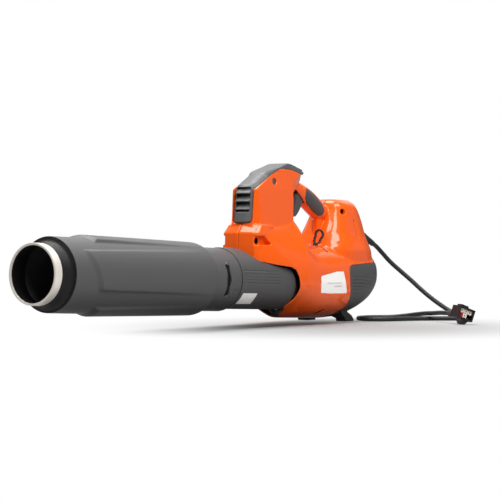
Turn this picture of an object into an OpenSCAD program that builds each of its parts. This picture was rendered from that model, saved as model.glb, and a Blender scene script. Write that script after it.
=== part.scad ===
// Hand-held axial leaf blower for a backpack supply, with its lead and connector.
// The air axis runs along X from the mouth, tilted down to the rear, and the feet stand on Z = 0.

/* [Nozzle and tube] */
// Outer diameter of the steel ring round the mouth
mouth_d = 100; // [98:0.5:104]
// Bore of the mouth
mouth_bore_d = 92.4; // [90:0.2:93]
// Length of the steel ring
ring_len = 16; // [12:1:20]
// Length of the flared neck behind the ring
neck_len = 20; // [18:1:26]
// Length of the outer tube
tube_len = 368; // [320:2:420]
// Outer diameter of the tube at its front edge
tube_front_d = 123; // [121:0.5:126]
// Outer diameter of the tube at its rear edge
tube_rear_d = 127.6; // [125:0.4:130]
// Wall of the tube and the neck
tube_wall = 1.8; // [1.6:0.1:2.4]
// How far the raised pads stand out at their front
pad_rise = 4; // [3:0.5:5]
// How far the extension pipe lies inside the tube's rear edge, on the radius
pipe_step = 7.8; // [7.4:0.1:8.2]
// Wall of the extension pipe
pipe_wall = 2.6; // [2.2:0.1:2.8]
// Length of pipe that shows behind the tube
pipe_show = 78; // [70:1:90]

/* [Air duct] */
// Step from the duct's spigot in to its bore, on the radius
duct_step = 6.2; // [6:0.1:6.6]
// Wall of the fan duct
duct_wall = 2.2; // [1.8:0.1:2.4]
// Length of the spigot that carries the pipe
spigot_len = 54; // [50:1:60]

/* [Fan and motor] */
// Number of fan blades
blade_count = 9; // [7:1:11]
// Gap between the blade tips and the duct
blade_gap = 0.6; // [0.5:0.1:1.2]
// Diameter of the fan hub and the motor pod
hub_d = 54; // [52:1:58]
// Number of guide vanes
vane_count = 7; // [5:1:9]
// Length of the motor stator
stator_len = 44; // [38:1:48]
// Diameter of the motor shaft
shaft_d = 8; // [6:0.5:8]
// Outer diameter of the shaft bearings
bearing_d = 22; // [18:1:24]
// Width of the shaft bearings
bearing_w = 7; // [6:0.5:8]

/* [Body] */
// Half of the body's greatest width
body_half_w = 73; // [71:0.5:76]
// Wall of the body shells
body_wall = 2.6; // [2.2:0.1:3]
// Half width of the tower at its base
tower_half_w = 33.5; // [32:0.5:35]
// Half width of the top cover
cover_half_w = 20; // [18:0.5:21]
// Half width of the cap over the tower
cap_half_w = 22.5; // [21.5:0.5:23]
// Wall of the top cover
cover_wall = 2.6; // [2:0.1:3]
// Thickness of the side panels
panel_wall = 2.4; // [2:0.1:2.8]
// Thickness of the handle
handle_d = 37; // [34:0.5:38]
// Wall of the front sleeve
sleeve_wall = 2; // [1.8:0.1:2.2]

/* [Trigger] */
// Width of the trigger
trigger_w = 15; // [13:0.5:16]
// Diameter of the trigger pin
trigger_pin_d = 5; // [4:0.5:5]

/* [Keypad] */
// Diameter of the round buttons
button_d = 11; // [9:0.5:12]
// Travel of the buttons
button_travel = 1.5; // [1:0.1:1.6]

/* [Hanging eye] */
// Width of the eye plate
eye_w = 20; // [18:0.5:22]
// Height of the eye above its pin
eye_h = 36; // [34:0.5:38]
// Thickness of the eye plate
eye_thick = 4; // [3:0.2:4.4]
// Diameter of the eye's pin
eye_pin_d = 4; // [3:0.5:4]

/* [Stand] */
// Clearance between the belly and the ground
belly_gap = 7.1; // [6.6:0.1:9]
// Rearward fall of the air axis, in degrees
axis_fall = 2.2; // [2:0.1:2.4]
// Width of each foot
foot_w = 22; // [18:1:26]
// Distance of each foot's middle from the seam
foot_out = 44; // [40:1:48]

/* [Cord] */
// Diameter of the cord
cord_d = 8.7; // [8:0.1:9]
// Length of the strain relief
gland_len = 40; // [36:1:44]

/* [Fits] */
// Radial running clearance of shafts and pins
run_gap = 0.05; // [0.03:0.01:0.08]
// Gap between neighbouring mouldings
seam_gap = 0.4; // [0.3:0.05:0.5]
// Radial clearance of the pipe on its spigot
slip_gap = 0.7; // [0.5:0.05:0.9]

/* [Hidden] */
$fn = 72;
cut = 1;
ring_sides = 32;
shell_sides = 24;

// Stations along the air axis, from the mouth of the default tube
tube_end = 404;
tube_start = tube_end - tube_len;
ring_end = tube_start - neck_len;
mouth = ring_end - ring_len;
pipe_start = 340;
pipe_end = tube_end + pipe_show;
sleeve_start = pipe_end + seam_gap;
spigot_start = pipe_end - spigot_len;
body_front = 541;
duct_end = 838;

mouth_r = mouth_d / 2;
mouth_bore_r = mouth_bore_d / 2;
tube_front_r = tube_front_d / 2;
tube_rear_r = tube_rear_d / 2;
pipe_r = tube_rear_r - pipe_step;
pipe_bore_r = pipe_r - pipe_wall;
spigot_r = pipe_bore_r - slip_gap;
duct_bore_r = spigot_r - duct_step;
duct_r = duct_bore_r + duct_wall;
hub_r = hub_d / 2;
pod_wall = 2;
stator_r = hub_r - pod_wall;
shaft_r = shaft_d / 2;
bearing_r = bearing_d / 2;

// Seat of the pipe in the tube
seat_gap = 0.05;

// Ring seat on the neck
lip_len = 3;
ring_wall = 2.4;
press_gap = 0.15;
spigot_ring_r = mouth_r - ring_wall;

// Bayonet: two lugs on the duct spigot ride in curved slots of the pipe
lug_r = 3.2;
lug_angle = 30;
lug_back = 35;
slot_low_angle = -20;
slot_half_w = lug_r + 0.8;
lug_low = 1 - spigot_r;
lug_len = pipe_wall + slip_gap + 0.6;
lug_station = pipe_end - lug_back;

// Sleeve section: round, with a flattened underside
sleeve_r = pipe_r + 1.5;
sleeve_flat = sleeve_r - 6;
sleeve_end = 646;

// Motor and fan stations
tail_start = 652;
pod_start = 728;
pod_end = 800;
vane_start = 744;
vane_len = 40;
stator_start = 742;
bearing_front = 731;
bearing_rear = pod_end - bearing_w - 2;
fan_start = 803;
fan_len = 25;
spinner_len = 26;
shaft_start = 729;
shaft_end = fan_start + fan_len;
rotor_r = 12.5;
air_gap = 0.6;
blade_pitch = 38;
blade_thick = 2.2;
vane_pitch = 78;

// Side outlines, in the X-Z plane of the air axis
sleeve_curve = [
  [480, 62], [514, 59], [522, 56], [532, 45], [541, 38], [552, 33], [590, 28], [624, 25],
  [635, 20], [642, 8], [646, -10], [645, -30], [640, -46], [646, -52], [658, -66], [658, -72],
  [480, -72]
];
tower_outline = [
  [551, 92], [555, 165], [567, 172], [611, 200], [644, 206.6], [671, 206.4], [708, 199],
  [711, 188], [704, 178], [680, 168], [672, 162], [677, 119], [678, 92]
];
tower_front = [
  [-cut, 80], [tower_half_w, 80], [tower_half_w, 100], [tower_half_w - 6, 168], [tower_half_w - 8.5, 186],
  [tower_half_w - 11.5, 215], [-cut, 215]
];
tower_plan = [
  [-cut, -cut], [540, 20], [551, 23], [560, 34], [560, 45], [667, 45], [667, 34], [678, 27],
  [duct_end, 27], [duct_end, -cut]
];
cover_front_outline = [
  [547, 103], [551, 167], [556, 173], [564, 177], [597, 198], [636, 210], [650, 214],
  [650, 180], [600, 150], [600, 103]
];
cover_cap_outline = [
  [590, 190], [597, 198], [636, 210], [658, 217], [667, 218], [670.4, 214.2], [711.6, 204.6],
  [716, 206], [714, 199.4], [708, 199], [671, 206.4], [644, 206.6], [611, 200]
];
cover_back = [[556, 90], [656, 90], [656, 182], [576, 182], [576, 165], [556, 165]];
louvre_window = [[540, 124], [560, 124], [560, 168], [540, 168]];
louvre_half_w = 14;
louvre_places = [128, 143, 157.5];
louvre_x = 548.5;
louvre_len = 9;
louvre_t = 2;
louvre_slope = 28;
leaf_outline = [
  [735, 175], [732, 166], [733, 157], [741, 147.5], [765, 133], [780, 126], [788, 128],
  [791, 137], [784, 147.5], [768, 160.5], [750, 170.5]
];
plate_outline = [[705, 9], [706, -21], [789, -19], [790, -14], [779, 22], [774, 24], [709, 12]];
panel_outline = [
  [960, 46], [812, 34], [804, 30], [801, 22], [802, -2], [806, -28], [803, -44], [790, -56],
  [770, -68], [770, -80], [960, -80]
];
trigger_outline = [
  [718, 168], [728, 168], [733, 160], [730, 149], [727, 142], [721, 133], [715, 126.5],
  [709, 121.5], [705, 122], [703.5, 127], [706, 140], [709, 150], [712, 160]
];
trigger_room = [
  [706, 172], [735, 172], [740, 160], [737, 146], [731, 128], [716, 110], [690, 116], [700, 160]
];
trigger_room_w = trigger_w + 1.6;
handle_path = [
  [700, 183, 11], [712, 177, 12.5], [726, 170.5, 15], [741, 163, handle_d / 2 - 1],
  [757, 155, handle_d / 2], [781, 142, handle_d / 2], [797, 133.5, handle_d / 2 - 0.5],
  [804, 130.5, handle_d / 2 - 1.5]
];

// Body lines: station, width share, top, bottom, widest height, crown, squareness, chin share
body_lines = [
  [body_front, 0.53, 85, -46, 20, 0.86, 8, 0.3],
  [553, 0.59, 100, -50, 20, 0.80, 6, 0.3],
  [580, 0.72, 107, -54, 14, 0.78, 4, 0.3],
  [620, 0.86, 116, -60, 6, 0.64, 3, 0.3],
  [655, 0.95, 126, -66, 0, 0.58, 2.6, 0.4],
  [669, 0.98, 128, -67, 0, 0.60, 2.6, 0.6],
  [682, 0.99, 108, -67, 0, 0.70, 2.6, 0.7],
  [693, 1, 90, -67, 0, 0.78, 2.6, 0.8],
  [708, 1, 78, -67, 0, 0.84, 2.6, 0.9],
  [730, 1, 73, -67, 0, 0.88, 2.5, 1],
  [770, 1, 71, -67, 0, 0.95, 2.6, 1],
  [820, 1, 71, -64, 2, 0.95, 2.5, 1],
  [850, 1, 72, -57, 5, 0.90, 2.4, 1],
  [880, 0.985, 73, -45, 10, 0.86, 2.4, 1],
  [900, 0.92, 71, -31, 16, 0.86, 2.4, 1],
  [914, 0.79, 67, -14, 22, 0.90, 2.4, 1],
  [923, 0.62, 60, 4, 28, 0.95, 2.4, 1],
  [928, 0.40, 54, 18, 34, 1, 2.4, 1]
];
// Dome lines: height, front, rear, half width
dome_lines = [
  [40, 768, 924, 64], [60, 770, 921, 63], [75, 776, 917, 58], [96, 786, 911, 49],
  [120, 800, 903, 43], [140, 809, 893, 38], [152, 812, 887, 31], [159.5, 820, 878, 20]
];

// Height of the air axis over the mouth, from the belly's lowest line
axis_height = belly_gap + max([for (b = body_lines) b[0] * sin(axis_fall) - b[3] * cos(axis_fall)]);

trigger_pivot = [723, 163];
eye_pivot = [757, -19, 66];
eye_lean = 24;
column_x = 794;
column_r = 10.5;
column_low = 55;
column_h = 72;
keypad_place = [691, 209.4];
keypad_slope = 13.1;
bezel_len = 38;
bezel_w = 40;
bezel_t = 3;
board_len = 30;
board_w = 32;
board_t = 1.6;
button_gap = 0.35;
button_lift = button_travel + 0.2;
button_places = [[9, 0], [-8, -10], [-8, 10]];
lens_place = [-1, 0];
lens_d = 5;
// Screw places on the side of the body
screw_places = [[615, 181], [553, 72], [832, 134], [664, -57], [760, -58]];
screw_head_r = 4;
screw_shank_r = 2.2;
screw_depth = 12;
screw_hole_gap = 0.3;
boss_wall = 2.4;

// Feet, in the ground frame
leg_outline = [
  [812, 0], [838, 0], [838.5, 3], [836, 6], [832, 10.5], [817, 18], [812, 34], [788, 34],
  [795, 20], [800, 13.3], [809.5, 6.5]
];
web_outline = [[768, 34], [770, 12], [797, 9.4], [809, 6], [812, 34]];
web_w = 6;

// Bumper under the front of the body
bumper_place = [638, -17];
bumper_neck = [650, -17];
bumper_top = -52;
bumper_low = -64.5;
bumper_top_r = 12.2;
bumper_low_r = 5.4;
bumper_neck_r = 5;

// Motor leads
lead_x = 650;
lead_r = 1.6;
lead_top = 109;

// Ribs inside the shells: bars under the heat sink and bulkheads round the duct
bar_places = [580, 630];
bar_w = 3;
sink_low = 98;
sink_x = 574;
sink_len = 66;
damper_places = [656, 812];
damper_len = 8;
damper_t = 1.2;
damper_gap = 0.1;
web_t = 3;
peg_places = [[748, 158.4], [758, 153.4]];
peg_r = 1.6;

// Rear grille
grille_half_w = 40;
grille_top = 38;
grille_low = -46;
slot_pitch = 8;
slot_h = 4.6;

grille_window = [
  [840, grille_low + 8], [960, grille_low + 8], [960, grille_top - 8], [840, grille_top - 8]
];
slot_half_len = grille_half_w - 6;
slot_front = 830;

// Gland: its root on the air axis's frame and the way it points
gland_root = [909.5, -21, 97];
gland_droop = 24;
gland_swing = 5;
gland_root_r = 7;
gland_tip_r = 5.4;
gland_dir = [cos(gland_droop) * cos(gland_swing), -cos(gland_droop) * sin(gland_swing),
             -sin(gland_droop)];
gland_tip = gland_root + gland_dir * (gland_len + 4);

// The air frame is turned by axis_fall and shifted so that the object is centred on X = 0
function to_ground(p) = [
  p[0] * cos(axis_fall) + p[2] * sin(axis_fall), p[1],
  axis_height - p[0] * sin(axis_fall) + p[2] * cos(axis_fall)];
low_x = to_ground([mouth, 0, -mouth_r])[0];
gland_dir_x = gland_dir[0] * cos(axis_fall) + gland_dir[2] * sin(axis_fall);
high_x = to_ground(gland_tip)[0] + gland_tip_r * sqrt(1 - pow(gland_dir_x, 2));
shift_x = -(low_x + high_x) / 2;

// Cord route on the ground frame, X from the default mouth, Z to the cord's centre
cord_z = cord_d / 2 + 0.1;
cord_sides = 10;
cord_points = [
  [963.5, -25.5, 140.5], [973.5, -31.5, 129], [983.5, -45, 110.5], [994, -64, 91], [1000, -82, 75], [1005, -102, 57],
  [1009, -122, 41], [1012, -141, 28], [1014, -159, 17.5], [1013, -177, 10], [1009, -194, 6],
  [1001, -209, cord_z], [988, -218, cord_z], [973, -216, cord_z], [960, -205, cord_z],
  [948, -189, cord_z], [932, -168, cord_z], [908, -147, cord_z], [880, -130, cord_z],
  [856, -116, cord_z], [843, -98, cord_z], [842, -78, cord_z], [851, -61, cord_z],
  [863, -50, cord_z], [882, -46, cord_z], [901, -50, cord_z], [917, -62, cord_z],
  [929, -82, 5], [936, -106, 7.5], [938, -132, 11], [932, -157, 13.6], [921, -180, 15],
  [905, -202, 16.8], [887, -224, 18]
];
boot_start = [872, -246, 18.5];
boot_start_r = 6;
boot_end_r = 9.5;
connector_centre = [842, -291, 20];
shell_angle = -30;
shell_roll = 20;
shell_size = [32, 30, 22];
shell_wall = 2.5;
socket_depth = 20;
insert_size = [8, 15, 7.4];
insert_gap = 0.6;
terminal_r = 1.5;
boot_end = connector_centre + shell_size[1] / 2 * [-sin(shell_angle), cos(shell_angle), 0];

module placed() {
  translate([shift_x, 0, axis_height]) rotate([0, axis_fall, 0]) children();
}

// Body of revolution about the air axis; the profile holds [radius, station] points
module turned(profile) {
  rotate([0, 90, 0]) rotate_extrude() polygon(profile);
}

module tube_x(outer, inner, from, to) {
  turned([[inner, from], [outer, from], [outer, to], [inner, to]]);
}

// Plate with a side outline, centred on the seam
module slab(outline, half_w, grow = 0) {
  rotate([90, 0, 0]) linear_extrude(2 * half_w, center = true) offset(delta = grow) polygon(outline);
}

module plain_slab(outline, half_w) {
  rotate([90, 0, 0]) linear_extrude(2 * half_w, center = true) polygon(outline);
}

// Pin or hole across the body
module cross_pin(x, z, r, y0, y1) {
  translate([x, y1, z]) rotate([90, 0, 0]) cylinder(r = r, h = y1 - y0);
}

// Closed skin over rings that all have the same number of points
module skin(rings) {
  n = len(rings[0]);
  m = len(rings);
  polyhedron(
    points = [for (r = rings) each r],
    faces = concat(
      [[for (i = [0 : n - 1]) i]],
      [for (k = [0 : m - 2], i = [0 : n - 1]) [k * n + i, (k + 1) * n + i, (k + 1) * n + (i + 1) % n]],
      [for (k = [0 : m - 2], i = [0 : n - 1]) [k * n + i, (k + 1) * n + (i + 1) % n, k * n + (i + 1) % n]],
      [[for (i = [n - 1 : -1 : 0]) (m - 1) * n + i]]),
    convexity = 8);
}

function keep_sign(v, p) = sign(v) * pow(abs(v), p);

function body_ring(line, inset) = let (
  w = line[1] * body_half_w - inset,
  up = line[2] - line[4] - inset,
  down = line[4] - line[3] - inset,
  p = 2 / line[6])
  [for (i = [0 : ring_sides - 1]) let (
    a = 360 * i / ring_sides,
    t = keep_sign(sin(a), p),
    k = 1 - (1 - line[t > 0 ? 5 : 7]) * t * t)
    [line[0], keep_sign(cos(a), p) * w * k, line[4] + t * (t > 0 ? up : down)]];

module body_form(inset = 0, ends = 0) {
  last = len(body_lines) - 1;
  skin([for (i = [0 : last]) let (
    shift = i == 0 ? ends : i == last ? -ends : 0,
    r = body_ring(body_lines[i], inset))
    [for (q = r) q + [shift, 0, 0]]]);
}

module dome_form(inset = 0) {
  skin([for (d = dome_lines) let (
    mid = (d[1] + d[2]) / 2,
    half = (d[2] - d[1]) / 2 - inset)
    [for (i = [0 : ring_sides - 1]) let (a = 360 * i / ring_sides)
      [mid + keep_sign(cos(a), 2 / 3) * half, keep_sign(sin(a), 2 / 3) * (d[3] - inset),
       d[0] - (d[0] > 150 ? inset : 0)]]]);
}

module tower_form(inset = 0) {
  intersection() {
    slab(tower_outline, tower_half_w + 6, -inset);
    rotate([90, 0, 90]) linear_extrude(duct_end) offset(delta = -inset) union() for (side = [0, 1])
      mirror([side, 0]) polygon(tower_front);
    linear_extrude(300) offset(delta = -inset) union() for (side = [0, 1])
      mirror([0, side]) polygon(tower_plan);
  }
}

module handle_form(inset = 0) {
  for (i = [0 : len(handle_path) - 2])
    hull() for (k = [i, i + 1]) {
      p = handle_path[k];
      d = handle_path[min(k + 1, len(handle_path) - 1)] - handle_path[max(k - 1, 0)];
      translate([p[0], 0, p[1]]) rotate([0, 90 - atan2(d[1], d[0]), 0])
        scale([1, 0.94, 1]) cylinder(r = p[2] - inset, h = 0.2, center = true, $fn = 28);
    }
  end = handle_path[len(handle_path) - 1];
  translate([end[0], 0, end[1]]) sphere(r = end[2] - inset, $fn = 28);
}

module column_form(inset = 0) {
  translate([column_x, 0, column_low]) cylinder(r = column_r - inset, h = column_h, $fn = ring_sides);
}

module body_outside(inset = 0) {
  body_form(inset, inset);
  dome_form(inset);
  tower_form(inset);
  handle_form(inset);
  column_form(inset);
}

module panel_region(grow = 0) {
  slab(panel_outline, 100, grow);
}

// What the panels lie on
module panel_bed(inset = 0) {
  body_form(panel_wall + inset, panel_wall + inset);
}

// ---- housings ----

module screw_bosses(grow) {
  for (s = screw_places) cross_pin(s[0], s[1], screw_head_r + screw_hole_gap + grow, -100, 100);
}

// One shell; side is -1 for the left half (low Y) and 1 for the right half
module housing_half(side) {
  $fn = shell_sides;
  difference() {
    intersection() {
      union() {
        difference() {
          body_outside();
          body_outside(body_wall);
        }
        // The shell steps inward behind the side panels
        intersection() {
          difference() {
            panel_bed();
            panel_bed(body_wall);
          }
          panel_region();
        }
        intersection() {
          body_outside(body_wall / 2);
          screw_bosses(boss_wall);
        }
        // Carriers of the trigger pin and the eye pin
        cross_pin(trigger_pivot[0], trigger_pivot[1], trigger_pin_d / 2 + 3, -12, 12);
        translate([eye_pivot[0] - 9, eye_pivot[1] - 5, eye_pivot[2] - 5]) cube([18, 10, 9]);
        intersection() {
          body_form(body_wall / 2);
          for (x = damper_places) tube_x(120, 0, x + (damper_len - web_t) / 2, x + (damper_len + web_t) / 2);
        }
        intersection() {
          tower_form(body_wall / 2);
          for (x = bar_places) translate([x, -50, sink_low - bar_w]) cube([bar_w, 100, bar_w]);
        }
        for (p = peg_places) cross_pin(p[0], p[1], peg_r, -16, 16);
      }
      translate([0, side > 0 ? 0.05 : -200.05, -100]) cube([1200, 200, 400]);
    }
    // Room for the sleeve, the duct, the cover and the panels
    slab(sleeve_curve, 100, seam_gap);
    tube_x(duct_r + damper_t + damper_gap, 0, pipe_end - 10, duct_end + 12, $fn = 72);
    bumper_form(seam_gap);
    slab(cover_front_outline, cover_half_w + seam_gap, seam_gap);
    slab(cover_cap_outline, 40, seam_gap);
    at_keypad() translate([-board_len / 2, -board_w / 2, -board_t - seam_gap]) cube([board_len, board_w, 10]);
    difference() {
      panel_region(seam_gap);
      panel_bed();
    }
    intersection() {
      slab(grille_window, grille_half_w - 5);
      body_outside();
    }
    // Finger room inside the handle's underside for the trigger
    slab(trigger_room, trigger_room_w / 2);
    cross_pin(trigger_pivot[0], trigger_pivot[1], trigger_pin_d / 2 + run_gap, -14, 14);
    // Pockets of the grip insert, the rating plate and the hanging eye
    grip_insert(side, seam_gap / 2, 0.2);
    if (side < 0) rating_plate_form(seam_gap / 2, 0.2);
    if (side < 0) eye_slot();
    // Screw heads enter from the left, shanks end in the right half
    for (s = screw_places) {
      cross_pin(s[0], s[1], screw_head_r + screw_hole_gap, -100, side < 0 ? -screw_depth : -100.5);
      cross_pin(s[0], s[1], screw_shank_r + screw_hole_gap, -100, screw_depth + 1);
    }
    gland_bore();
  }
}

module housing_left() {
  color("orangered") placed() housing_half(-1);
}

module housing_right() {
  color("orangered") placed() housing_half(1);
}

// ---- nozzle ----

module wear_ring() {
  color("silver") placed() turned([
    [mouth_bore_r, mouth], [mouth_r, mouth], [mouth_r, ring_end],
    [spigot_ring_r + press_gap, ring_end], [spigot_ring_r + press_gap, mouth + lip_len],
    [mouth_bore_r, mouth + lip_len]]);
}

function flare(steps) = [for (i = [0 : steps]) let (a = 90 * i / steps)
  [mouth_r - 1.5 + (tube_front_r - 4.5 - mouth_r) * (1 - cos(a)),
   ring_end + neck_len * sin(a)]];

// Raised pads on four sides, or the hollow behind them where inset is more than 0
module pads(inset) {
  intersection() {
    turned([[tube_front_r - tube_wall - inset, tube_start + 46 + inset],
            [tube_front_r - inset, tube_start + 50 + inset],
            [tube_front_r + pad_rise - inset, tube_start + 66 + inset],
            [tube_rear_r - inset, tube_end - 20], [tube_rear_r - tube_wall - inset, tube_end - 20]]);
    union() {
      plain_slab([[tube_start, 36 - inset], [tube_start, inset - 22], [tube_end, inset - 30],
                  [tube_end, 48 - inset]], 100);
      rotate([90, 0, 0]) plain_slab([[tube_start, 26 - inset], [tube_start, inset - 26],
                                     [tube_end, inset - 34], [tube_end, 34 - inset]], 100);
    }
  }
}

module blow_tube() {
  color("#3f4042") placed() difference() {
    union() {
      turned(concat(
        [[mouth_bore_r, mouth + lip_len], [spigot_ring_r, mouth + lip_len], [spigot_ring_r, ring_end]],
        flare(8),
        [[tube_front_r - 1.2, tube_start], [tube_front_r, tube_start + 1.6],
         [tube_rear_r, tube_end - 7], [tube_rear_r - 1, tube_end - 3], [tube_rear_r - 3.5, tube_end],
         [pipe_r + seat_gap, tube_end], [pipe_r + seat_gap, tube_end - 6],
         [tube_rear_r - tube_wall, tube_end - 8], [tube_front_r - tube_wall, tube_start + 4],
         [mouth_r + 1, tube_start + 3], [mouth_bore_r + 2, ring_end + 8], [mouth_bore_r, ring_end + 4]]));
      // Rib that holds the pipe's front end
      tube_x(tube_front_r, pipe_r + seat_gap, pipe_start + 4, pipe_start + 8);
      pads(0);
    }
    pads(tube_wall);
  }
}

// Slots that leave each lug the same room at their ends as at their sides
module bayonet_slots() {
  end = slot_half_w / pipe_r * 180 / PI;
  sweep = lug_angle - slot_low_angle + 2 * end;
  for (turn = [0, 180]) rotate([turn - lug_angle - end, 0, 0]) translate([lug_station, 0, 0])
    rotate([0, 90, 0]) rotate([0, 0, -90]) rotate_extrude(angle = sweep)
      translate([pipe_bore_r - 2, -slot_half_w]) square([pipe_wall + 4, 2 * slot_half_w]);
}

module extension_pipe() {
  color("#3f4042") placed() difference() {
    tube_x(pipe_r, pipe_bore_r, pipe_start, pipe_end);
    bayonet_slots();
  }
}

// ---- duct ----

module fan_duct() {
  color("#202224") placed() {
    turned([
      [spigot_r - duct_wall, spigot_start], [spigot_r, spigot_start], [spigot_r, pipe_end - 10],
      [duct_r, pipe_end - 2], [duct_r, duct_end], [duct_bore_r, duct_end],
      [duct_bore_r, pipe_end - 4], [spigot_r - duct_wall, pipe_end - 12]]);
    for (turn = [0, 180]) rotate([turn - lug_angle, 0, 0]) translate([lug_station, lug_low - lug_len, 0])
      rotate([-90, 0, 0]) cylinder(r = lug_r, h = lug_len);
  }
}

module pipe_sleeve() {
  color("#4a4b4d") placed() intersection() {
    difference() {
      intersection() {
        tube_x(sleeve_r, duct_r - 5, sleeve_start, sleeve_end + 2);
        translate([0, -100, -sleeve_flat]) cube([900, 200, 200]);
      }
      intersection() {
        tube_x(sleeve_r - sleeve_wall, 0, sleeve_start - cut, sleeve_end + 4);
        translate([0, -100, sleeve_wall - sleeve_flat]) cube([900, 200, 200]);
      }
    }
    plain_slab(sleeve_curve, 100);
  }
}

module inlet_bell() {
  color("#202224") placed() turned([
    [duct_bore_r, duct_end], [duct_r, duct_end], [duct_r + 0.6, duct_end + 5],
    [duct_r + 2.6, duct_end + 9], [duct_r + 1.2, duct_end + 10], [duct_bore_r + 1.6, duct_end + 6]]);
}

module duct_dampers() {
  color("#1b1b1b") placed() for (x = damper_places)
    tube_x(duct_r + damper_t, duct_r, x, x + damper_len);
}

// ---- fan and motor ----

module blade(r_in, r_out, at, length, pitch, thick) {
  intersection() {
    translate([at + length / 2, 0, r_in - 1]) rotate([0, 0, pitch])
      translate([-length, -thick / 2, 0]) cube([2 * length, thick, r_out - r_in + 2]);
    tube_x(r_out, r_in - 1, at, at + length);
  }
}

module fan() {
  tip = duct_bore_r - blade_gap;
  color("#2b2d30") placed() {
    tube_x(hub_r, shaft_r, fan_start, fan_start + 3);
    tube_x(hub_r, hub_r - 2.4, fan_start + 3, fan_start + fan_len);
    tube_x(shaft_r + 4, shaft_r, fan_start + 3, fan_start + fan_len - 2);
    for (i = [0 : blade_count - 1]) rotate([360 * i / blade_count, 0, 0])
      blade(hub_r, tip, fan_start + 1, fan_len - 2, blade_pitch, blade_thick);
  }
}

module fan_spinner() {
  at = fan_start + fan_len;
  color("#2b2d30") placed() turned(concat([[0, at + 3], [hub_r - 3, at + 1], [hub_r - 3, at]],
    [for (i = [0 : 8]) let (a = 90 * i / 8) [hub_r * cos(a), at + spinner_len * sin(a)]]));
}

module guide_vanes() {
  color("#26282a") placed() {
    tube_x(hub_r, hub_r - pod_wall, pod_start, pod_end);
    tube_x(hub_r - pod_wall, bearing_r, bearing_front, bearing_front + bearing_w);
    tube_x(hub_r - pod_wall, bearing_r, bearing_rear, bearing_rear + bearing_w);
    for (i = [0 : vane_count - 1]) rotate([360 * i / vane_count, 0, 0])
      blade(hub_r, duct_bore_r, vane_start, vane_len, 90 - vane_pitch, 2);
  }
}

module tail_cone() {
  color("#26282a") placed() turned(concat(
    [[hub_r - 2, pod_start], [hub_r, pod_start]],
    [for (i = [1 : 6]) let (t = i / 6) [6 + (hub_r - 6) * (1 - t * t), pod_start - (pod_start - tail_start) * t]],
    [[0, tail_start], [0, tail_start + 3], [5, tail_start + 4]],
    [for (i = [5 : -1 : 1]) let (t = i / 6)
      [4 + (hub_r - 6) * (1 - t * t), pod_start - (pod_start - tail_start - 3) * t]]));
}

module motor_stator() {
  color("#8a8d90") placed() difference() {
    tube_x(stator_r, rotor_r + air_gap, stator_start, stator_start + stator_len);
    for (i = [0 : 5]) rotate([60 * i, 0, 0])
      translate([stator_start - cut, -3.2, rotor_r + 3]) cube([stator_len + 2 * cut, 6.4, 5]);
  }
}

module stator_windings() {
  color("#b87333") placed() for (i = [0 : 5]) rotate([60 * i, 0, 0])
    translate([stator_start - 3, -2.9, rotor_r + 3.3]) cube([stator_len + 6, 5.8, 4.4]);
}

module motor_rotor() {
  color("#5b5e61") placed() tube_x(rotor_r, shaft_r, stator_start + 1, stator_start + stator_len - 1);
}

module motor_shaft() {
  color("silver") placed() translate([shaft_start, 0, 0]) rotate([0, 90, 0])
    cylinder(r = shaft_r, h = shaft_end - shaft_start);
}

module bearing(at) {
  color("silver") placed() tube_x(bearing_r, shaft_r + run_gap, at, at + bearing_w);
}

module front_bearing() {
  bearing(bearing_front);
}

module rear_bearing() {
  bearing(bearing_rear);
}

// ---- electronics ----

module control_board() {
  color("darkgreen") placed() {
    translate([sink_x - 2, -18, sink_low + 14]) cube([sink_len + 4, 36, board_t]);
    for (i = [0 : 2]) translate([sink_x + 6 + 16 * i, -12, sink_low + 14 + board_t]) cylinder(r = 5, h = 14);
    translate([sink_x + 54, -10, sink_low + 14 + board_t]) cube([10, 20, 9]);
  }
}

module heat_sink() {
  color("silver") placed() {
    translate([sink_x, -17, sink_low + 8]) cube([sink_len, 34, 6]);
    for (i = [0 : 6]) translate([sink_x, -16 + 5 * i, sink_low]) cube([sink_len, 2, 8]);
  }
}

module motor_leads() {
  color("#2a2a2a") placed() for (y = [-8, 0, 8]) {
    translate([lead_x, y, duct_r]) cylinder(r = lead_r, h = lead_top - duct_r);
    translate([sink_x + sink_len, y, lead_top]) rotate([0, 90, 0])
      cylinder(r = lead_r, h = lead_x + lead_r - sink_x - sink_len);
  }
}

// ---- controls ----

module at_keypad() {
  translate([keypad_place[0], 0, keypad_place[1]]) rotate([0, keypad_slope, 0]) children();
}

module on_keypad() {
  placed() at_keypad() children();
}

module keypad_bezel() {
  color("#2c2d2f") on_keypad() difference() {
    translate([-bezel_len / 2, -bezel_w / 2, 0]) cube([bezel_len, bezel_w, bezel_t]);
    for (b = button_places) translate([b[0], b[1], -cut])
      cylinder(r = button_d / 2 + button_gap, h = bezel_t + 2 * cut);
    translate([lens_place[0], lens_place[1], -cut]) cylinder(r = lens_d / 2, h = bezel_t + 2 * cut);
  }
}

module button(which) {
  b = button_places[which];
  on_keypad() translate([b[0], b[1], button_lift]) cylinder(r = button_d / 2, h = bezel_t + 0.9 - button_lift);
}

module power_button() {
  color("#3a7d44") button(0);
}

module boost_button() {
  color("#555759") button(1);
}

module cruise_button() {
  color("#555759") button(2);
}

module status_lens() {
  color("#9fd8a0") on_keypad() translate([lens_place[0], lens_place[1], 0.4]) cylinder(r = lens_d / 2, h = bezel_t);
}

module keypad_board() {
  color("darkgreen") on_keypad() translate([-board_len / 2, -board_w / 2, -board_t]) cube([board_len, board_w, board_t]);
}

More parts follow.
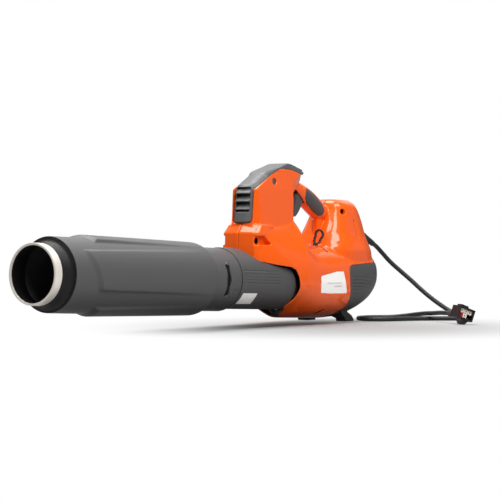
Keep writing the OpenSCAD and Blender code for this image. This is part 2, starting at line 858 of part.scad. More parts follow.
module top_cover() {
  color("#8d8f91") placed() difference() {
    union() {
      difference() {
        slab(cover_front_outline, cover_half_w);
        slab(cover_front_outline, cover_half_w - cover_wall, -cover_wall);
        slab(cover_back, 2 * cover_half_w);
      }
      plain_slab(cover_cap_outline, cap_half_w);
    }
    at_keypad() translate([-board_len / 2, -board_w / 2, -board_t]) cube([board_len, board_w, 10]);
    // Window of the louvres
    slab(louvre_window, louvre_half_w);
  }
  color("#8d8f91") placed() for (z = louvre_places) translate([louvre_x, -louvre_half_w - 0.2, z])
    rotate([0, -louvre_slope, 0]) cube([louvre_len, 2 * louvre_half_w + 0.4, louvre_t]);
}

// ---- trigger ----

module trigger() {
  color("#55585a") placed() difference() {
    union() {
      plain_slab(trigger_outline, trigger_w / 2);
      cross_pin(trigger_pivot[0], trigger_pivot[1], trigger_pin_d / 2 + 2.6, -trigger_w / 2, trigger_w / 2);
    }
    cross_pin(trigger_pivot[0], trigger_pivot[1], trigger_pin_d / 2 + run_gap, -20, 20);
    // Recess of the return spring
    cross_pin(trigger_pivot[0], trigger_pivot[1], trigger_pin_d / 2 + 2.8, trigger_w / 2 - 3, 20);
  }
}

module trigger_pin() {
  color("silver") placed() cross_pin(trigger_pivot[0], trigger_pivot[1], trigger_pin_d / 2, -11, 11);
}

module trigger_spring() {
  color("silver") placed() difference() {
    cross_pin(trigger_pivot[0], trigger_pivot[1], trigger_pin_d / 2 + 2, trigger_w / 2 - 2.6, trigger_w / 2 - 0.4);
    cross_pin(trigger_pivot[0], trigger_pivot[1], trigger_pin_d / 2 + 0.4, 0, 20);
  }
}

module trigger_switch() {
  color("#222222") placed() difference() {
    translate([744, -6, 160]) rotate([0, 27, 0]) translate([-2, 0, -5]) cube([18, 12, 9]);
    for (p = peg_places) cross_pin(p[0], p[1], peg_r, -20, 20);
  }
}

// Soft pad let into one side of the handle
module grip_insert(side, grow = 0, deep = 0) {
  intersection() {
    difference() {
      handle_form(grow > 0 ? -1 : 0);
      handle_form(2 + deep);
    }
    translate([0, side * (trigger_room_w / 2 + 10), 0]) slab(leaf_outline, 10, grow);
  }
}

module grip_insert_left() {
  color("#474849") placed() grip_insert(-1);
}

module grip_insert_right() {
  color("#474849") placed() grip_insert(1);
}

// ---- panels and trim ----

module side_panel(side) {
  color("#4a4b4d") placed() intersection() {
    difference() {
      body_form();
      panel_bed();
    }
    panel_region();
    translate([700, side > 0 ? grille_half_w + seam_gap : -100, -100]) cube([300, 100 - grille_half_w - seam_gap, 200]);
  }
}

module side_panel_left() {
  side_panel(-1);
}

module side_panel_right() {
  side_panel(1);
}

module inlet_grille() {
  color("#303133") placed() difference() {
    intersection() {
      difference() {
        body_form();
        panel_bed();
      }
      panel_region();
      translate([700, -grille_half_w, -100]) cube([300, 2 * grille_half_w, 200]);
    }
    for (z = [grille_low + 10 : slot_pitch : grille_top - 10])
      translate([slot_front, -slot_half_len, z]) cube([120, 2 * slot_half_len, slot_h]);
  }
}

module rating_plate_form(grow = 0, deep = 0) {
  intersection() {
    difference() {
      body_form(grow > 0 ? -1 : 0);
      body_form(1 + deep);
    }
    translate([0, -72, 0]) slab(plate_outline, 20, grow);
  }
}

module rating_plate() {
  color("white") placed() rating_plate_form();
}

module sleeve_sticker() {
  color("white") placed() intersection() {
    tube_x(sleeve_r + 0.3, sleeve_r, 470, 560);
    translate([0, -50, 0]) plain_slab([[486, -42], [528, -42], [532, -23], [491, -23]], 30);
  }
}

module bumper_form(grow = 0) {
  translate([bumper_place[0], bumper_place[1], bumper_low - grow])
    cylinder(r1 = bumper_low_r + grow, r2 = bumper_top_r + grow, h = bumper_top - bumper_low + grow);
  translate([bumper_neck[0], bumper_neck[1], bumper_top - 4]) cylinder(r = bumper_neck_r + grow, h = 12);
}

// A plug whose neck seats against the duct
module front_bumper() {
  color("#161616") placed() difference() {
    bumper_form();
    tube_x(duct_r, 0, 600, 700);
  }
}

// ---- stand ----

module stand_frame() {
  translate([shift_x, 0, 0]) children();
}

// One foot: a leg that sweeps back and a thin web that runs forward under the body
module foot(side) {
  color("#161616") difference() {
    stand_frame() translate([0, side * foot_out, 0]) rotate([90, 0, 0]) {
      linear_extrude(foot_w, center = true) polygon(leg_outline);
      translate([0, 0, side * (foot_w / 2 - web_w / 2)]) linear_extrude(web_w, center = true)
        polygon(web_outline);
    }
    placed() body_form();
  }
}

module foot_left() {
  foot(-1);
}

module foot_right() {
  foot(1);
}

// ---- hanging eye ----

module at_eye() {
  translate(eye_pivot) rotate([eye_lean, 0, 0]) children();
}

module eye_slot() {
  slot = eye_thick / 2 + 0.6;
  translate([eye_pivot[0] - slot, eye_pivot[1] - 34, eye_pivot[2] - 16]) cube([2 * slot, 42, 40]);
  translate([eye_pivot[0] - 8, eye_pivot[1], eye_pivot[2]]) rotate([0, 90, 0])
    cylinder(r = eye_pin_d / 2 + 0.02, h = 16);
}

module hanging_eye() {
  color("#2c3033") placed() difference() {
    at_eye() rotate([90, 0, 90]) linear_extrude(eye_thick, center = true) difference() {
      union() {
        translate([0, eye_h - eye_w / 2]) circle(r = eye_w / 2);
        translate([0, eye_w / 2 + 5]) circle(r = eye_w / 2 - 2);
        translate([2 - eye_w / 2, eye_w / 2 + 5]) square([eye_w - 4, eye_h - eye_w - 5]);
        translate([-4.5, 0]) square([9, 9]);
        circle(r = 4.5);
      }
      translate([0, eye_h - eye_w / 2]) circle(r = eye_w / 2 - 3.5);
      translate([0, eye_w / 2 + 4]) circle(r = eye_w / 2 - 5);
      translate([5 - eye_w / 2, eye_w / 2 + 4]) square([eye_w - 10, eye_h - eye_w - 4]);
    }
    translate([eye_pivot[0] - 20, eye_pivot[1], eye_pivot[2]]) rotate([0, 90, 0])
      cylinder(r = eye_pin_d / 2 + run_gap, h = 40);
  }
}

module hanging_eye_pin() {
  color("silver") placed() translate([eye_pivot[0] - 7.5, eye_pivot[1], eye_pivot[2]]) rotate([0, 90, 0])
    cylinder(r = eye_pin_d / 2, h = 15);
}

// ---- screws ----

module housing_screws() {
  color("#303030") placed() for (s = screw_places) {
    cross_pin(s[0], s[1], screw_head_r, -screw_depth - 4.2, -screw_depth - 0.2);
    cross_pin(s[0], s[1], screw_shank_r, -screw_depth - 1, screw_depth);
  }
}

// ---- cord ----

module at_gland() {
  translate(gland_root) rotate([0, gland_droop, -gland_swing]) children();
}

module gland_bore() {
  at_gland() rotate([0, 90, 0]) translate([0, 0, -16]) cylinder(r = gland_root_r + 0.2, h = 40);
}

module cord_gland() {
  color("#1a1b1c") placed() at_gland() {
    turned([[0, -16], [gland_root_r + 1.4, -16], [gland_root_r + 1.4, -13], [gland_root_r, -13],
            [gland_root_r, 12], [gland_root_r - 0.6, 16], [gland_tip_r, gland_len + 4],
            [0, gland_len + 4]]);
  }
}

function unit(v) = v / norm(v);

// Rings square to the route, each turned least from the one before
function cord_rings(pts, r, n) = let (last = len(pts) - 1)
  [for (i = [0 : last]) let (
    t = unit(pts[min(i + 1, last)] - pts[max(i - 1, 0)]),
    side = unit(cross([0, 0, 1], t)),
    up = cross(t, side))
    [for (k = [0 : n - 1]) let (a = 360 * k / n) pts[i] + r * (cos(a) * side + sin(a) * up)]];

module cord() {
  route = concat([to_ground(gland_tip)], cord_points, [boot_start]);
  color("#2b2b2c") stand_frame() skin(cord_rings(route, cord_d / 2, cord_sides));
}

// Connector: the mating face looks along -Y, and the shell lies rolled on its rib
module at_connector() {
  stand_frame() translate(connector_centre) rotate([0, 0, shell_angle]) rotate([0, shell_roll, 0]) children();
}

module shell_box(grow = 0) {
  translate(-shell_size / 2 - [grow, grow, grow]) cube(shell_size + 2 * [grow, grow, grow]);
}

module connector_boot() {
  run = boot_end - boot_start;
  color("#1c1c1d") difference() {
    stand_frame() translate(boot_start) rotate([0, acos(run[2] / norm(run)), atan2(run[1], run[0])])
      cylinder(r1 = boot_start_r, r2 = boot_end_r, h = norm(run) + 3);
    at_connector() shell_box();
  }
}

module connector_shell() {
  half = shell_size / 2;
  color("#151516") at_connector() {
    difference() {
      shell_box();
      translate([shell_wall - half[0], -half[1] - cut, shell_wall - half[2]])
        cube([shell_size[0] - 2 * shell_wall, socket_depth + cut, shell_size[2] - 2 * shell_wall]);
    }
    // Latch on the top and rib underneath
    translate([2 - half[0], 2 - half[1], half[2]]) cube([15, 16, 3]);
    translate([0, 6, 0]) rotate([90, 0, 0]) linear_extrude(20)
      polygon([[-9, -half[2]], [-1, -half[2] - 9], [3, -half[2] - 9], [9, -half[2]]]);
  }
}

// Terminal carriers: two rows of three places, one of them red and one empty
module carrier(i, k) {
  at = [(i - 1) * (insert_size[0] + insert_gap), socket_depth - shell_size[1] / 2,
        (k - 0.5) * (insert_size[2] + insert_gap)];
  translate(at) difference() {
    translate([-insert_size[0] / 2, -insert_size[1], -insert_size[2] / 2]) cube(insert_size);
    translate([0, -insert_size[1] + 8, 0]) rotate([90, 0, 0]) cylinder(r = terminal_r, h = 10);
  }
}

module connector_insert() {
  color("#ece4d8") at_connector() for (p = [[0, 1], [1, 1], [2, 1], [1, 0]]) carrier(p[0], p[1]);
}

module connector_key() {
  color("#b01825") at_connector() carrier(0, 0);
}

wear_ring();
blow_tube();
extension_pipe();
fan_duct();
pipe_sleeve();
housing_left();
housing_right();
top_cover();
keypad_bezel();
power_button();
boost_button();
cruise_button();
status_lens();
keypad_board();
grip_insert_left();
grip_insert_right();
trigger();
trigger_pin();
trigger_spring();
trigger_switch();
hanging_eye();
hanging_eye_pin();
side_panel_left();
side_panel_right();
inlet_grille();
inlet_bell();
guide_vanes();
tail_cone();
motor_stator();
stator_windings();
motor_shaft();
motor_rotor();
front_bearing();
rear_bearing();
fan();
fan_spinner();
duct_dampers();
control_board();
heat_sink();
motor_leads();
front_bumper();
foot_left();
foot_right();
rating_plate();
sleeve_sticker();
housing_screws();
cord_gland();
cord();
connector_boot();
connector_shell();
connector_insert();
connector_key();
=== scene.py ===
import math

import bmesh
import bpy
from mathutils import Matrix, Vector


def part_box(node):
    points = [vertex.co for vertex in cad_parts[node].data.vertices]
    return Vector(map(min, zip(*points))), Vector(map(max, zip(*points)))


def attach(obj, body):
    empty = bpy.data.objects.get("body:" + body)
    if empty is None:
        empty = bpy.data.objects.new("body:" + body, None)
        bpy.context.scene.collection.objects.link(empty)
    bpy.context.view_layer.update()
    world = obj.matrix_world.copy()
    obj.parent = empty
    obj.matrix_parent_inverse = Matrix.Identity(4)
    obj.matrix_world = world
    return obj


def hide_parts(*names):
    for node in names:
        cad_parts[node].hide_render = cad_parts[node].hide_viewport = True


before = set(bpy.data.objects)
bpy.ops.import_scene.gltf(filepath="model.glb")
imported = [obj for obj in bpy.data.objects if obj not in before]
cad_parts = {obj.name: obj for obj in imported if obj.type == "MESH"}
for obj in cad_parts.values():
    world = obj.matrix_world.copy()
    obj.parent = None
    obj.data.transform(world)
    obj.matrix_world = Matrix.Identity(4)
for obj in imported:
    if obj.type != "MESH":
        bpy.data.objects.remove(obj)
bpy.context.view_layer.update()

# ---- frames: lengths in mm, placed in the row frame in metres ----

# AIR measures stations along the air axis, which falls a little; GROUND measures heights from the floor
FOOT_BACK = 838.5
AIR_HEIGHT = 0.103609
FALL = math.radians(2.2)
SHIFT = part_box("foot_left")[1][0] * 1000 - FOOT_BACK
AIR = (Matrix.Translation((SHIFT / 1000, 0, AIR_HEIGHT)) @ Matrix.Rotation(FALL, 4, "Y")
       @ Matrix.Scale(0.001, 4))
GROUND = Matrix.Translation((SHIFT / 1000, 0, 0)) @ Matrix.Scale(0.001, 4)
GLAND_ROOT = Vector((909.5, -21, 97))
GLAND_LEN = 44
GLAND = (AIR @ Matrix.Translation(GLAND_ROOT) @ Matrix.Rotation(math.radians(-5), 4, "Z")
         @ Matrix.Rotation(math.radians(24), 4, "Y"))

# ---- camera ----

cam = bpy.data.objects.new("camera", bpy.data.cameras.new("camera"))
bpy.context.collection.objects.link(cam)
bpy.context.scene.camera = cam
cam.data.lens = 144
cam.data.sensor_width = 36
cam.location = ((-2338 + SHIFT) / 1000, -2.144, 0.1765)
TURN, DIP = math.radians(36.3), math.radians(0.63)
look = Vector((math.cos(TURN), math.sin(TURN), -math.tan(DIP)))
cam.rotation_mode = "QUATERNION"
cam.rotation_quaternion = look.to_track_quat("-Z", "Y")
cam.data.clip_start, cam.data.clip_end = 0.05, 60

# ---- mesh tools ----


def mesh_object(name, verts, faces):
    """Object of these faces, with doubled points merged and all faces turned outward."""
    me = bpy.data.meshes.new(name)
    me.from_pydata([tuple(v) for v in verts], [], faces)
    me.validate()
    o = bpy.data.objects.new(name, me)
    bpy.context.collection.objects.link(o)
    bm = bmesh.new()
    bm.from_mesh(me)
    bmesh.ops.remove_doubles(bm, verts=bm.verts, dist=1e-4)
    bmesh.ops.recalc_face_normals(bm, faces=bm.faces)
    bm.to_mesh(me)
    bm.free()
    return o


def bake(o):
    """Applies the modifiers of o."""
    graph = bpy.context.evaluated_depsgraph_get()
    graph.update()
    me = bpy.data.meshes.new_from_object(o.evaluated_get(graph))
    o.modifiers.clear()
    old, o.data = o.data, me
    bpy.data.meshes.remove(old)
    return o


def drop(*objects):
    for o in objects:
        bpy.data.objects.remove(o, do_unlink=True)


def cut(o, *tools, how="DIFFERENCE"):
    """Takes the tools out of o, adds them or keeps what they share with it, and uses them up."""
    for t in tools:
        m = o.modifiers.new("cut", "BOOLEAN")
        m.object, m.operation, m.solver = t, how, "MANIFOLD"
        bake(o)
    drop(*tools)
    return o


def copy(o, name):
    """A copy of o with a mesh of its own."""
    c = o.copy()
    c.data = o.data.copy()
    c.name = name
    bpy.context.collection.objects.link(c)
    return c


def soften(o, voxel, rounds):
    """Rebuilds o on a fine grid and relaxes it, so that its edges turn round."""
    grid = o.modifiers.new("grid", "REMESH")
    grid.mode, grid.voxel_size, grid.adaptivity = "VOXEL", voxel, 0
    relax = o.modifiers.new("relax", "SMOOTH")
    relax.factor, relax.iterations = 0.5, rounds
    return bake(o)


def turns(n):
    """The angles of n equal steps round a full turn."""
    return [2 * math.pi * i / n for i in range(n)]


def loft(name, rings):
    """Closed solid through rings of equal length."""
    n, verts, faces = len(rings[0]), [], []
    for r in rings:
        verts += r
    for k in range(len(rings) - 1):
        for i in range(n):
            j = (i + 1) % n
            faces.append((k * n + i, k * n + j, (k + 1) * n + j, (k + 1) * n + i))
    faces.append(tuple(range(n)))
    faces.append(tuple((len(rings) - 1) * n + i for i in reversed(range(n))))
    return mesh_object(name, verts, faces)


def fillet(points, radius, steps=5):
    """A closed outline with its corners rounded."""
    out, n = [], len(points)
    for i in range(n):
        p = Vector(points[i])
        a, b = Vector(points[i - 1]) - p, Vector(points[(i + 1) % n]) - p
        la, lb = a.length, b.length
        a, b = a.normalized(), b.normalized()
        half = math.acos(max(-1, min(1, a.dot(b)))) / 2
        if half < 0.1 or half > 1.56:
            out.append(tuple(p))
            continue
        t = min(radius / math.tan(half), 0.45 * la, 0.45 * lb)
        for k in range(steps + 1):
            f = k / steps
            out.append(tuple((p + a * t) * (1 - f) ** 2 + p * 2 * f * (1 - f) + (p + b * t) * f * f))
    return out


def grown(points, d):
    """A closed outline moved outward by d."""
    area = sum(points[i - 1][0] * p[1] - p[0] * points[i - 1][1] for i, p in enumerate(points))
    s = -1 if area < 0 else 1
    out, n = [], len(points)
    for i in range(n):
        p, q, r = (Vector(points[(i + k) % n]) for k in (-1, 0, 1))
        e, f = (q - p).normalized(), (r - q).normalized()
        m = Vector((e.y + f.y, -e.x - f.x))
        out.append(tuple(q + m.normalized() * s * d / max(0.35, (m.length / 2))))
    return out


def prism(name, verts):
    """Solid between two like outlines, whose points follow one another in verts."""
    n = len(verts) // 2
    faces = [(i, (i + 1) % n, n + (i + 1) % n, n + i) for i in range(n)]
    return mesh_object(name, verts, faces + [tuple(range(n)), tuple(range(2 * n - 1, n - 1, -1))])


def slab(name, outline, y0, y1):
    """Plate with a side outline of (station, height) between two y."""
    return prism(name, [(p[0], y, p[1]) for y in (y0, y1) for p in outline])


def plan_prism(name, outline, z0, z1):
    """Upright prism over a plan of (station, y)."""
    return prism(name, [(p[0], p[1], z) for z in (z0, z1) for p in outline])


def front_prism(name, outline, x0, x1):
    """Prism along the air axis from a front outline of (y, height)."""
    return prism(name, [(x, p[0], p[1]) for x in (x0, x1) for p in outline])


def block(name, lo, hi):
    """Box between two corners."""
    return slab(name, [(lo[0], lo[2]), (hi[0], lo[2]), (hi[0], hi[2]), (lo[0], hi[2])], lo[1], hi[1])


def rod(name, a, b, r, n=40):
    """Round bar from a to b."""
    a, b = Vector(a), Vector(b)
    q = (b - a).to_track_quat("Z", "Y")
    circle = [q @ Vector((r * math.cos(t), r * math.sin(t), 0)) for t in turns(n)]
    return loft(name, [[c + v for v in circle] for c in (a, b)])


def lathe(name, profile, n=192, rule=None):
    """Solid turned about the air axis from (radius, station) points; rule may change a radius by angle."""
    verts, faces, m = [], [], len(profile)
    for a in turns(n):
        for r, s in profile:
            if rule:
                r = rule(r, s, a)
            verts.append((s, r * math.cos(a), r * math.sin(a)))
    for i in range(n):
        j = (i + 1) % n
        for k in range(m):
            h = (k + 1) % m
            faces.append((i * m + k, i * m + h, j * m + h, j * m + k))
    return mesh_object(name, verts, faces)


def place(o, body="housing", angle=40):
    """Puts a finished piece in the row frame, keeps edges over the angle sharp, and lets it ride."""
    o.data.transform(AIR)
    o.data.polygons.foreach_set("use_smooth", [True] * len(o.data.polygons))
    if angle:
        o.data.set_sharp_from_angle(angle=math.radians(angle))
    o.data.update()
    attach(o, body)
    return o


# ---- materials ----


def lin(rgb):
    """A colour of 0 to 255 in linear light."""
    return tuple(((c / 255) / 12.92 if c <= 10 else ((c / 255 + 0.055) / 1.055) ** 2.4) for c in rgb) + (1,)


def grain_group():
    """Moulded surface: colour with slow drift and fine dust, roughness to match, and a fine bump."""
    g = bpy.data.node_groups.new("moulded surface", "ShaderNodeTree")
    face = g.interface
    number, colour = "NodeSocketFloat", "NodeSocketColor"
    for name, kind, value in (("Color", colour, (0.5, 0.5, 0.5, 1)), ("Drift", number, 0.1),
                              ("Dust", number, 0.05), ("Grain", number, 1500), ("Depth", number, 0.2),
                              ("Rough", number, 0.4), ("Rough drift", number, 0.08)):
        face.new_socket(name=name, in_out="INPUT", socket_type=kind).default_value = value
    for name, kind in (("Color", colour), ("Rough", number), ("Normal", "NodeSocketVector")):
        face.new_socket(name=name, in_out="OUTPUT", socket_type=kind)
    n, w = g.nodes, g.links.new
    a, z = n.new("NodeGroupInput"), n.new("NodeGroupOutput")
    where = n.new("ShaderNodeTexCoord")
    slow, fine, dust = (n.new("ShaderNodeTexNoise") for _ in range(3))
    slow.inputs["Scale"].default_value, slow.inputs["Detail"].default_value = 14, 4
    fine.inputs["Detail"].default_value = 3
    dust.inputs["Scale"].default_value, dust.inputs["Detail"].default_value = 320, 6
    for t in (slow, fine, dust):
        w(where.outputs["Object"], t.inputs["Vector"])
    w(a.outputs["Grain"], fine.inputs["Scale"])

    def maths(op, x, y):
        m = n.new("ShaderNodeMath")
        m.operation = op
        for k, v in enumerate((x, y)):
            if isinstance(v, (int, float)):
                m.inputs[k].default_value = v
            else:
                w(v, m.inputs[k])
        return m.outputs[0]

    def swing(texture, amount):
        return maths("MULTIPLY", maths("SUBTRACT", texture.outputs["Fac"], 0.5), a.outputs[amount])

    light = maths("ADD", maths("ADD", 1, swing(slow, "Drift")), swing(dust, "Dust"))
    scale = n.new("ShaderNodeVectorMath")
    scale.operation = "SCALE"
    w(a.outputs["Color"], scale.inputs[0])
    w(light, scale.inputs["Scale"])
    w(scale.outputs[0], z.inputs["Color"])
    w(maths("ADD", a.outputs["Rough"], swing(slow, "Rough drift")), z.inputs["Rough"])
    bump = n.new("ShaderNodeBump")
    bump.inputs["Distance"].default_value = 0.00012
    w(fine.outputs["Fac"], bump.inputs["Height"])
    w(a.outputs["Depth"], bump.inputs["Strength"])
    w(bump.outputs["Normal"], z.inputs["Normal"])
    return g


GRAIN = grain_group()


def material(name, rgb, rough, drift=0.12, dust=0.06, grain=1500, depth=0.25, rough_drift=0.1, metal=0.0,
             coat=0.0, specular=0.5, sheen=0.0, clear=0.0, coat_rough=0.08):
    """One finish of this machine, with the moulded surface under it."""
    m = bpy.data.materials.new(name)
    m.use_nodes = True
    n, w = m.node_tree.nodes, m.node_tree.links.new
    p = n["Principled BSDF"]
    g = n.new("ShaderNodeGroup")
    g.node_tree = GRAIN
    for k, v in (("Color", lin(rgb)), ("Drift", drift), ("Dust", dust), ("Grain", grain), ("Depth", depth),
                 ("Rough", rough), ("Rough drift", rough_drift)):
        g.inputs[k].default_value = v
    w(g.outputs["Color"], p.inputs["Base Color"])
    w(g.outputs["Rough"], p.inputs["Roughness"])
    w(g.outputs["Normal"], p.inputs["Normal"])
    p.inputs["Metallic"].default_value = metal
    p.inputs["Coat Weight"].default_value = coat
    p.inputs["Coat Roughness"].default_value = coat_rough
    p.inputs["Specular IOR Level"].default_value = specular
    p.inputs["Sheen Weight"].default_value = sheen
    p.inputs["Transmission Weight"].default_value = clear
    return m


ORANGE = material("glossy orange plastic", (242, 92, 12), 0.34, drift=0.04, dust=0.02, grain=700, depth=0.02,
                  rough_drift=0.04, coat=1.0, coat_rough=0.05, specular=0.12)
TUBE = material("charcoal tube plastic", (80, 80, 81), 0.5, drift=0.08, dust=0.05, grain=2600, depth=0.5)
SLEEVE = material("charcoal sleeve plastic", (76, 76, 77), 0.46, drift=0.08, dust=0.05, grain=2600, depth=0.5)
PANEL = material("charcoal panel plastic", (72, 72, 73), 0.46, drift=0.08, dust=0.05, grain=2600, depth=0.5)
COVER = material("grey cover plastic", (92, 92, 92), 0.4, drift=0.06, dust=0.05, grain=2400, depth=0.4)
BLACK = material("black plastic", (26, 26, 27), 0.42, drift=0.15, dust=0.08, grain=2000, depth=0.4)
# black of the ducts; the same material is painted shade in the screw wells and inside the tube
DUCT_BLACK_AND_SHADE = material("black duct plastic and painted shade", (14, 14, 15), 0.6, drift=0.15, dust=0.1, grain=1800, depth=0.4)
RUBBER = material("black rubber", (30, 30, 31), 0.7, drift=0.15, dust=0.15, grain=1600, depth=0.6, sheen=0.1)
GRIP = material("dark grip rubber", (66, 67, 68), 0.62, drift=0.1, dust=0.1, grain=2200, depth=0.8,
                sheen=0.15)
JACKET = material("cord jacket", (34, 34, 35), 0.45, drift=0.15, dust=0.12, grain=1500, depth=0.3)
RING = material("brushed steel ring", (246, 238, 228), 0.34, drift=0.1, dust=0.1, grain=900, depth=0.2,
                metal=0.4)
STEEL = material("bright steel", (170, 170, 172), 0.3, drift=0.1, dust=0.08, grain=1200, depth=0.2, metal=1.0)
DARK_STEEL = material("blackened steel", (52, 50, 50), 0.4, drift=0.15, dust=0.1, grain=1200, depth=0.3,
                      metal=0.9)
EYE = material("dark painted eye", (46, 50, 53), 0.32, drift=0.1, dust=0.08, grain=1300, depth=0.25,
               coat=0.3)
COPPER = material("enamelled copper", (190, 105, 60), 0.35, drift=0.2, dust=0.1, grain=900, depth=0.5,
                  metal=0.9)
LAMINATE = material("stacked sheet steel", (110, 112, 115), 0.45, drift=0.15, dust=0.15, grain=900,
                    depth=0.5, metal=0.9)
ALLOY = material("extruded alloy", (188, 190, 192), 0.35, drift=0.1, dust=0.1, grain=900, depth=0.3,
                 metal=0.95)
BOARD = material("green circuit board", (20, 74, 40), 0.35, drift=0.15, dust=0.1, grain=800, depth=0.3,
                 coat=0.3)
LABEL = material("white plate film", (253, 251, 248), 0.4, drift=0.03, dust=0.03, grain=1400, depth=0.1)
RULE = material("grey rule print", (150, 150, 152), 0.4, drift=0.05, dust=0.05, grain=1400, depth=0.1)
GREEN = material("green button", (44, 96, 56), 0.45, drift=0.1, dust=0.08, grain=1600, depth=0.3)
BUTTON = material("grey button", (72, 74, 76), 0.5, drift=0.1, dust=0.08, grain=1600, depth=0.3)
LENS = material("clear lens", (190, 225, 190), 0.15, drift=0.05, dust=0.04, grain=800, depth=0.05,
                coat=0.5, clear=0.3)
CREAM = material("cream terminal plastic", (232, 222, 205), 0.45, drift=0.06, dust=0.06, grain=1600,
                 depth=0.3)
RED = material("red terminal plastic", (176, 28, 40), 0.45, drift=0.06, dust=0.06, grain=1600, depth=0.3)


def finish_with(o, *materials):
    """Gives o these materials in place of its own."""
    o.data.materials.clear()
    for m in materials:
        o.data.materials.append(m)
    return o


# ---- cord and strain relief ----

CORD_R = 4.35
CORD_Z = 4.45    # height of its middle where it lies on the floor
# middle of the lead from the gland to the connector, by station, y and height above the floor
ROUTE = [
    (963.5, -25.5, 140.5), (973.5, -31.5, 129), (983.5, -45, 110.5), (994, -64, 91), (1000, -82, 75),
    (1005, -102, 57), (1009, -122, 41), (1012, -141, 28), (1014, -159, 17.5), (1013, -177, 10),
    (1009, -194, 6), (1001, -209, CORD_Z), (988, -218, CORD_Z), (973, -216, CORD_Z), (960, -205, CORD_Z),
    (948, -189, CORD_Z), (932, -168, CORD_Z), (908, -147, CORD_Z), (880, -130, CORD_Z), (856, -116, CORD_Z),
    (843, -98, CORD_Z), (842, -78, CORD_Z), (851, -61, CORD_Z), (863, -50, CORD_Z), (882, -46, CORD_Z),
    (901, -50, CORD_Z), (917, -62, CORD_Z), (929, -82, 5), (936, -106, 7.5), (938, -132, 11),
    (932, -157, 13.6), (921, -180, 15), (905, -202, 16.8), (887, -224, 18), (872, -246, 18.5)]
gland_tip = GLAND @ Vector((GLAND_LEN, 0, 0))
route = [gland_tip] + [GROUND @ Vector(p) for p in ROUTE]
curve = bpy.data.curves.new("lead", "CURVE")
curve.dimensions = "3D"
line = curve.splines.new("BEZIER")
line.bezier_points.add(len(route) - 1)
for b, p in zip(line.bezier_points, route):
    b.co = p
    b.handle_left_type = b.handle_right_type = "AUTO"
curve.resolution_u = 10
curve.bevel_depth = CORD_R / 1000
curve.bevel_resolution = 6
curve.use_fill_caps = True
lead = bpy.data.objects.new("lead", curve)
bpy.context.collection.objects.link(lead)
curve.materials.append(JACKET)
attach(lead, "housing")
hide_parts("cord")

# ---- nozzle ----

MOUTH_R, RING_R, TUBE_R, PIPE_R = 46.2, 50, 61.5, 56
RING_BORE, RING_LEN, RING_LIP = 47.75, 16, 3
PIPE_BORE, PIPE_START = 53.4, 340
TUBE_START, TUBE_LIP, TUBE_END, PIPE_END = 36, 396, 404, 482
# bayonet slots: station, half width, and how far back and how far each way they turn, in degrees
SLOT_S, SLOT_HALF, SLOT_BACK, SLOT_SWEEP = 445, 6.6, 1.5, 31
# two thin lines that run back to the end of the pipe: front end, height, radius
MARKS = ((459, -17.5, 0.6), (466, -2.5, 0.5))
# pins in the slots: station, radius, foot, height
PIN_S, PIN_R, PIN_FOOT, PIN_RISE = 447, 2.9, 53.6, 2.6
# raised pads: turn, front station, slant of the front, lower and upper edge, width of the front ramp
PADS = ((0, 67, 0.43, -24, 41, 8), (90, 110, 0.2, -30, 36, 14), (180, 67, 0.43, -24, 41, 8),
        (270, 100, 0.2, -30, 30, 10))
PAD_START, PAD_RISE = 50, 5.0
SOFT = 0.18    # how much of a ramp is rounded


def smooth_step(x):
    """0 to 1 with level ends."""
    x = max(0.0, min(1.0, x))
    return x * x * (3 - 2 * x)


def ramp(x, width):
    """0 outside, 1 inside, straight between with softly rounded ends."""
    t = x / width
    return 0.0 if t <= 0 else 1.0 if t >= 1 else (1 - SOFT) * t + SOFT * smooth_step(t)


def tube_r(s):
    """Outer radius of the tube at station s, without its pads."""
    return TUBE_R + 2.3 * (s - TUBE_START) / (TUBE_END - TUBE_START)


def pad(r, s, a):
    """The radius at station s and angle a with the raised pads on it; the near side is at -Y."""
    if s < PAD_START or s > TUBE_LIP or r < tube_r(s) - 1:
        return r
    y, z = math.cos(a), math.sin(a)
    rise = PAD_RISE * (1 - max(0, s - 100) / 300) ** 0.9
    best = 0.0
    for turn, front, slant, low, high, ramp_width in PADS:
        c, q = math.cos(math.radians(turn)), math.sin(math.radians(turn))
        yy, zz = y * c + z * q, -y * q + z * c
        if yy > 0:
            continue
        h = zz * TUBE_R
        k = (s - 62) / 286
        inside = min(ramp(h - (low - 4 * k), 4.2), ramp((high + 7 * k) - h, 5),
                     ramp(s - front - (high - h) * slant, ramp_width))
        best = max(best, inside)
    return r + rise * best


ring_wall = [(MOUTH_R, 0), (RING_R, 0), (RING_R, RING_LEN), (RING_BORE, RING_LEN), (RING_BORE, RING_LIP),
             (MOUTH_R, RING_LIP)]
ring = lathe("steel_ring", fillet(ring_wall, 0.7, 4))
finish_with(ring, RING)
place(ring, "nozzle", angle=50)
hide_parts("wear_ring")

outer = [(tube_r(s), s) for s in [38.5 + 1.6 * k for k in range(223)]]
flare = [(48.5 + 8.5 * (1 - math.cos(math.radians(a))) + (0.55 if a % 24 == 6 else 0),
          16 + 19 * math.sin(math.radians(a))) for a in range(0, 91, 6)]
profile = ([(MOUTH_R, RING_LIP), (47.6, RING_LIP), (47.6, RING_LEN)] + flare
           + [(58.4, 35.2), (58.8, 36.4), (59.6, 36.4), (60.4, 36.0), (61.1, 36.4), (61.4, 37.2)] + outer
           + [(tube_r(TUBE_LIP), TUBE_LIP), (63.5, 399), (62.9, 401.6), (61.6, 403.4), (60.2, TUBE_END),
              (56.05, TUBE_END), (56.05, 398), (61.6, TUBE_LIP), (59.6, 40), (51, 39), (48.2, 24),
              (MOUTH_R, 20)])
tube = lathe("blow_tube_skin", profile, 288, pad)
finish_with(tube, TUBE, DUCT_BLACK_AND_SHADE)
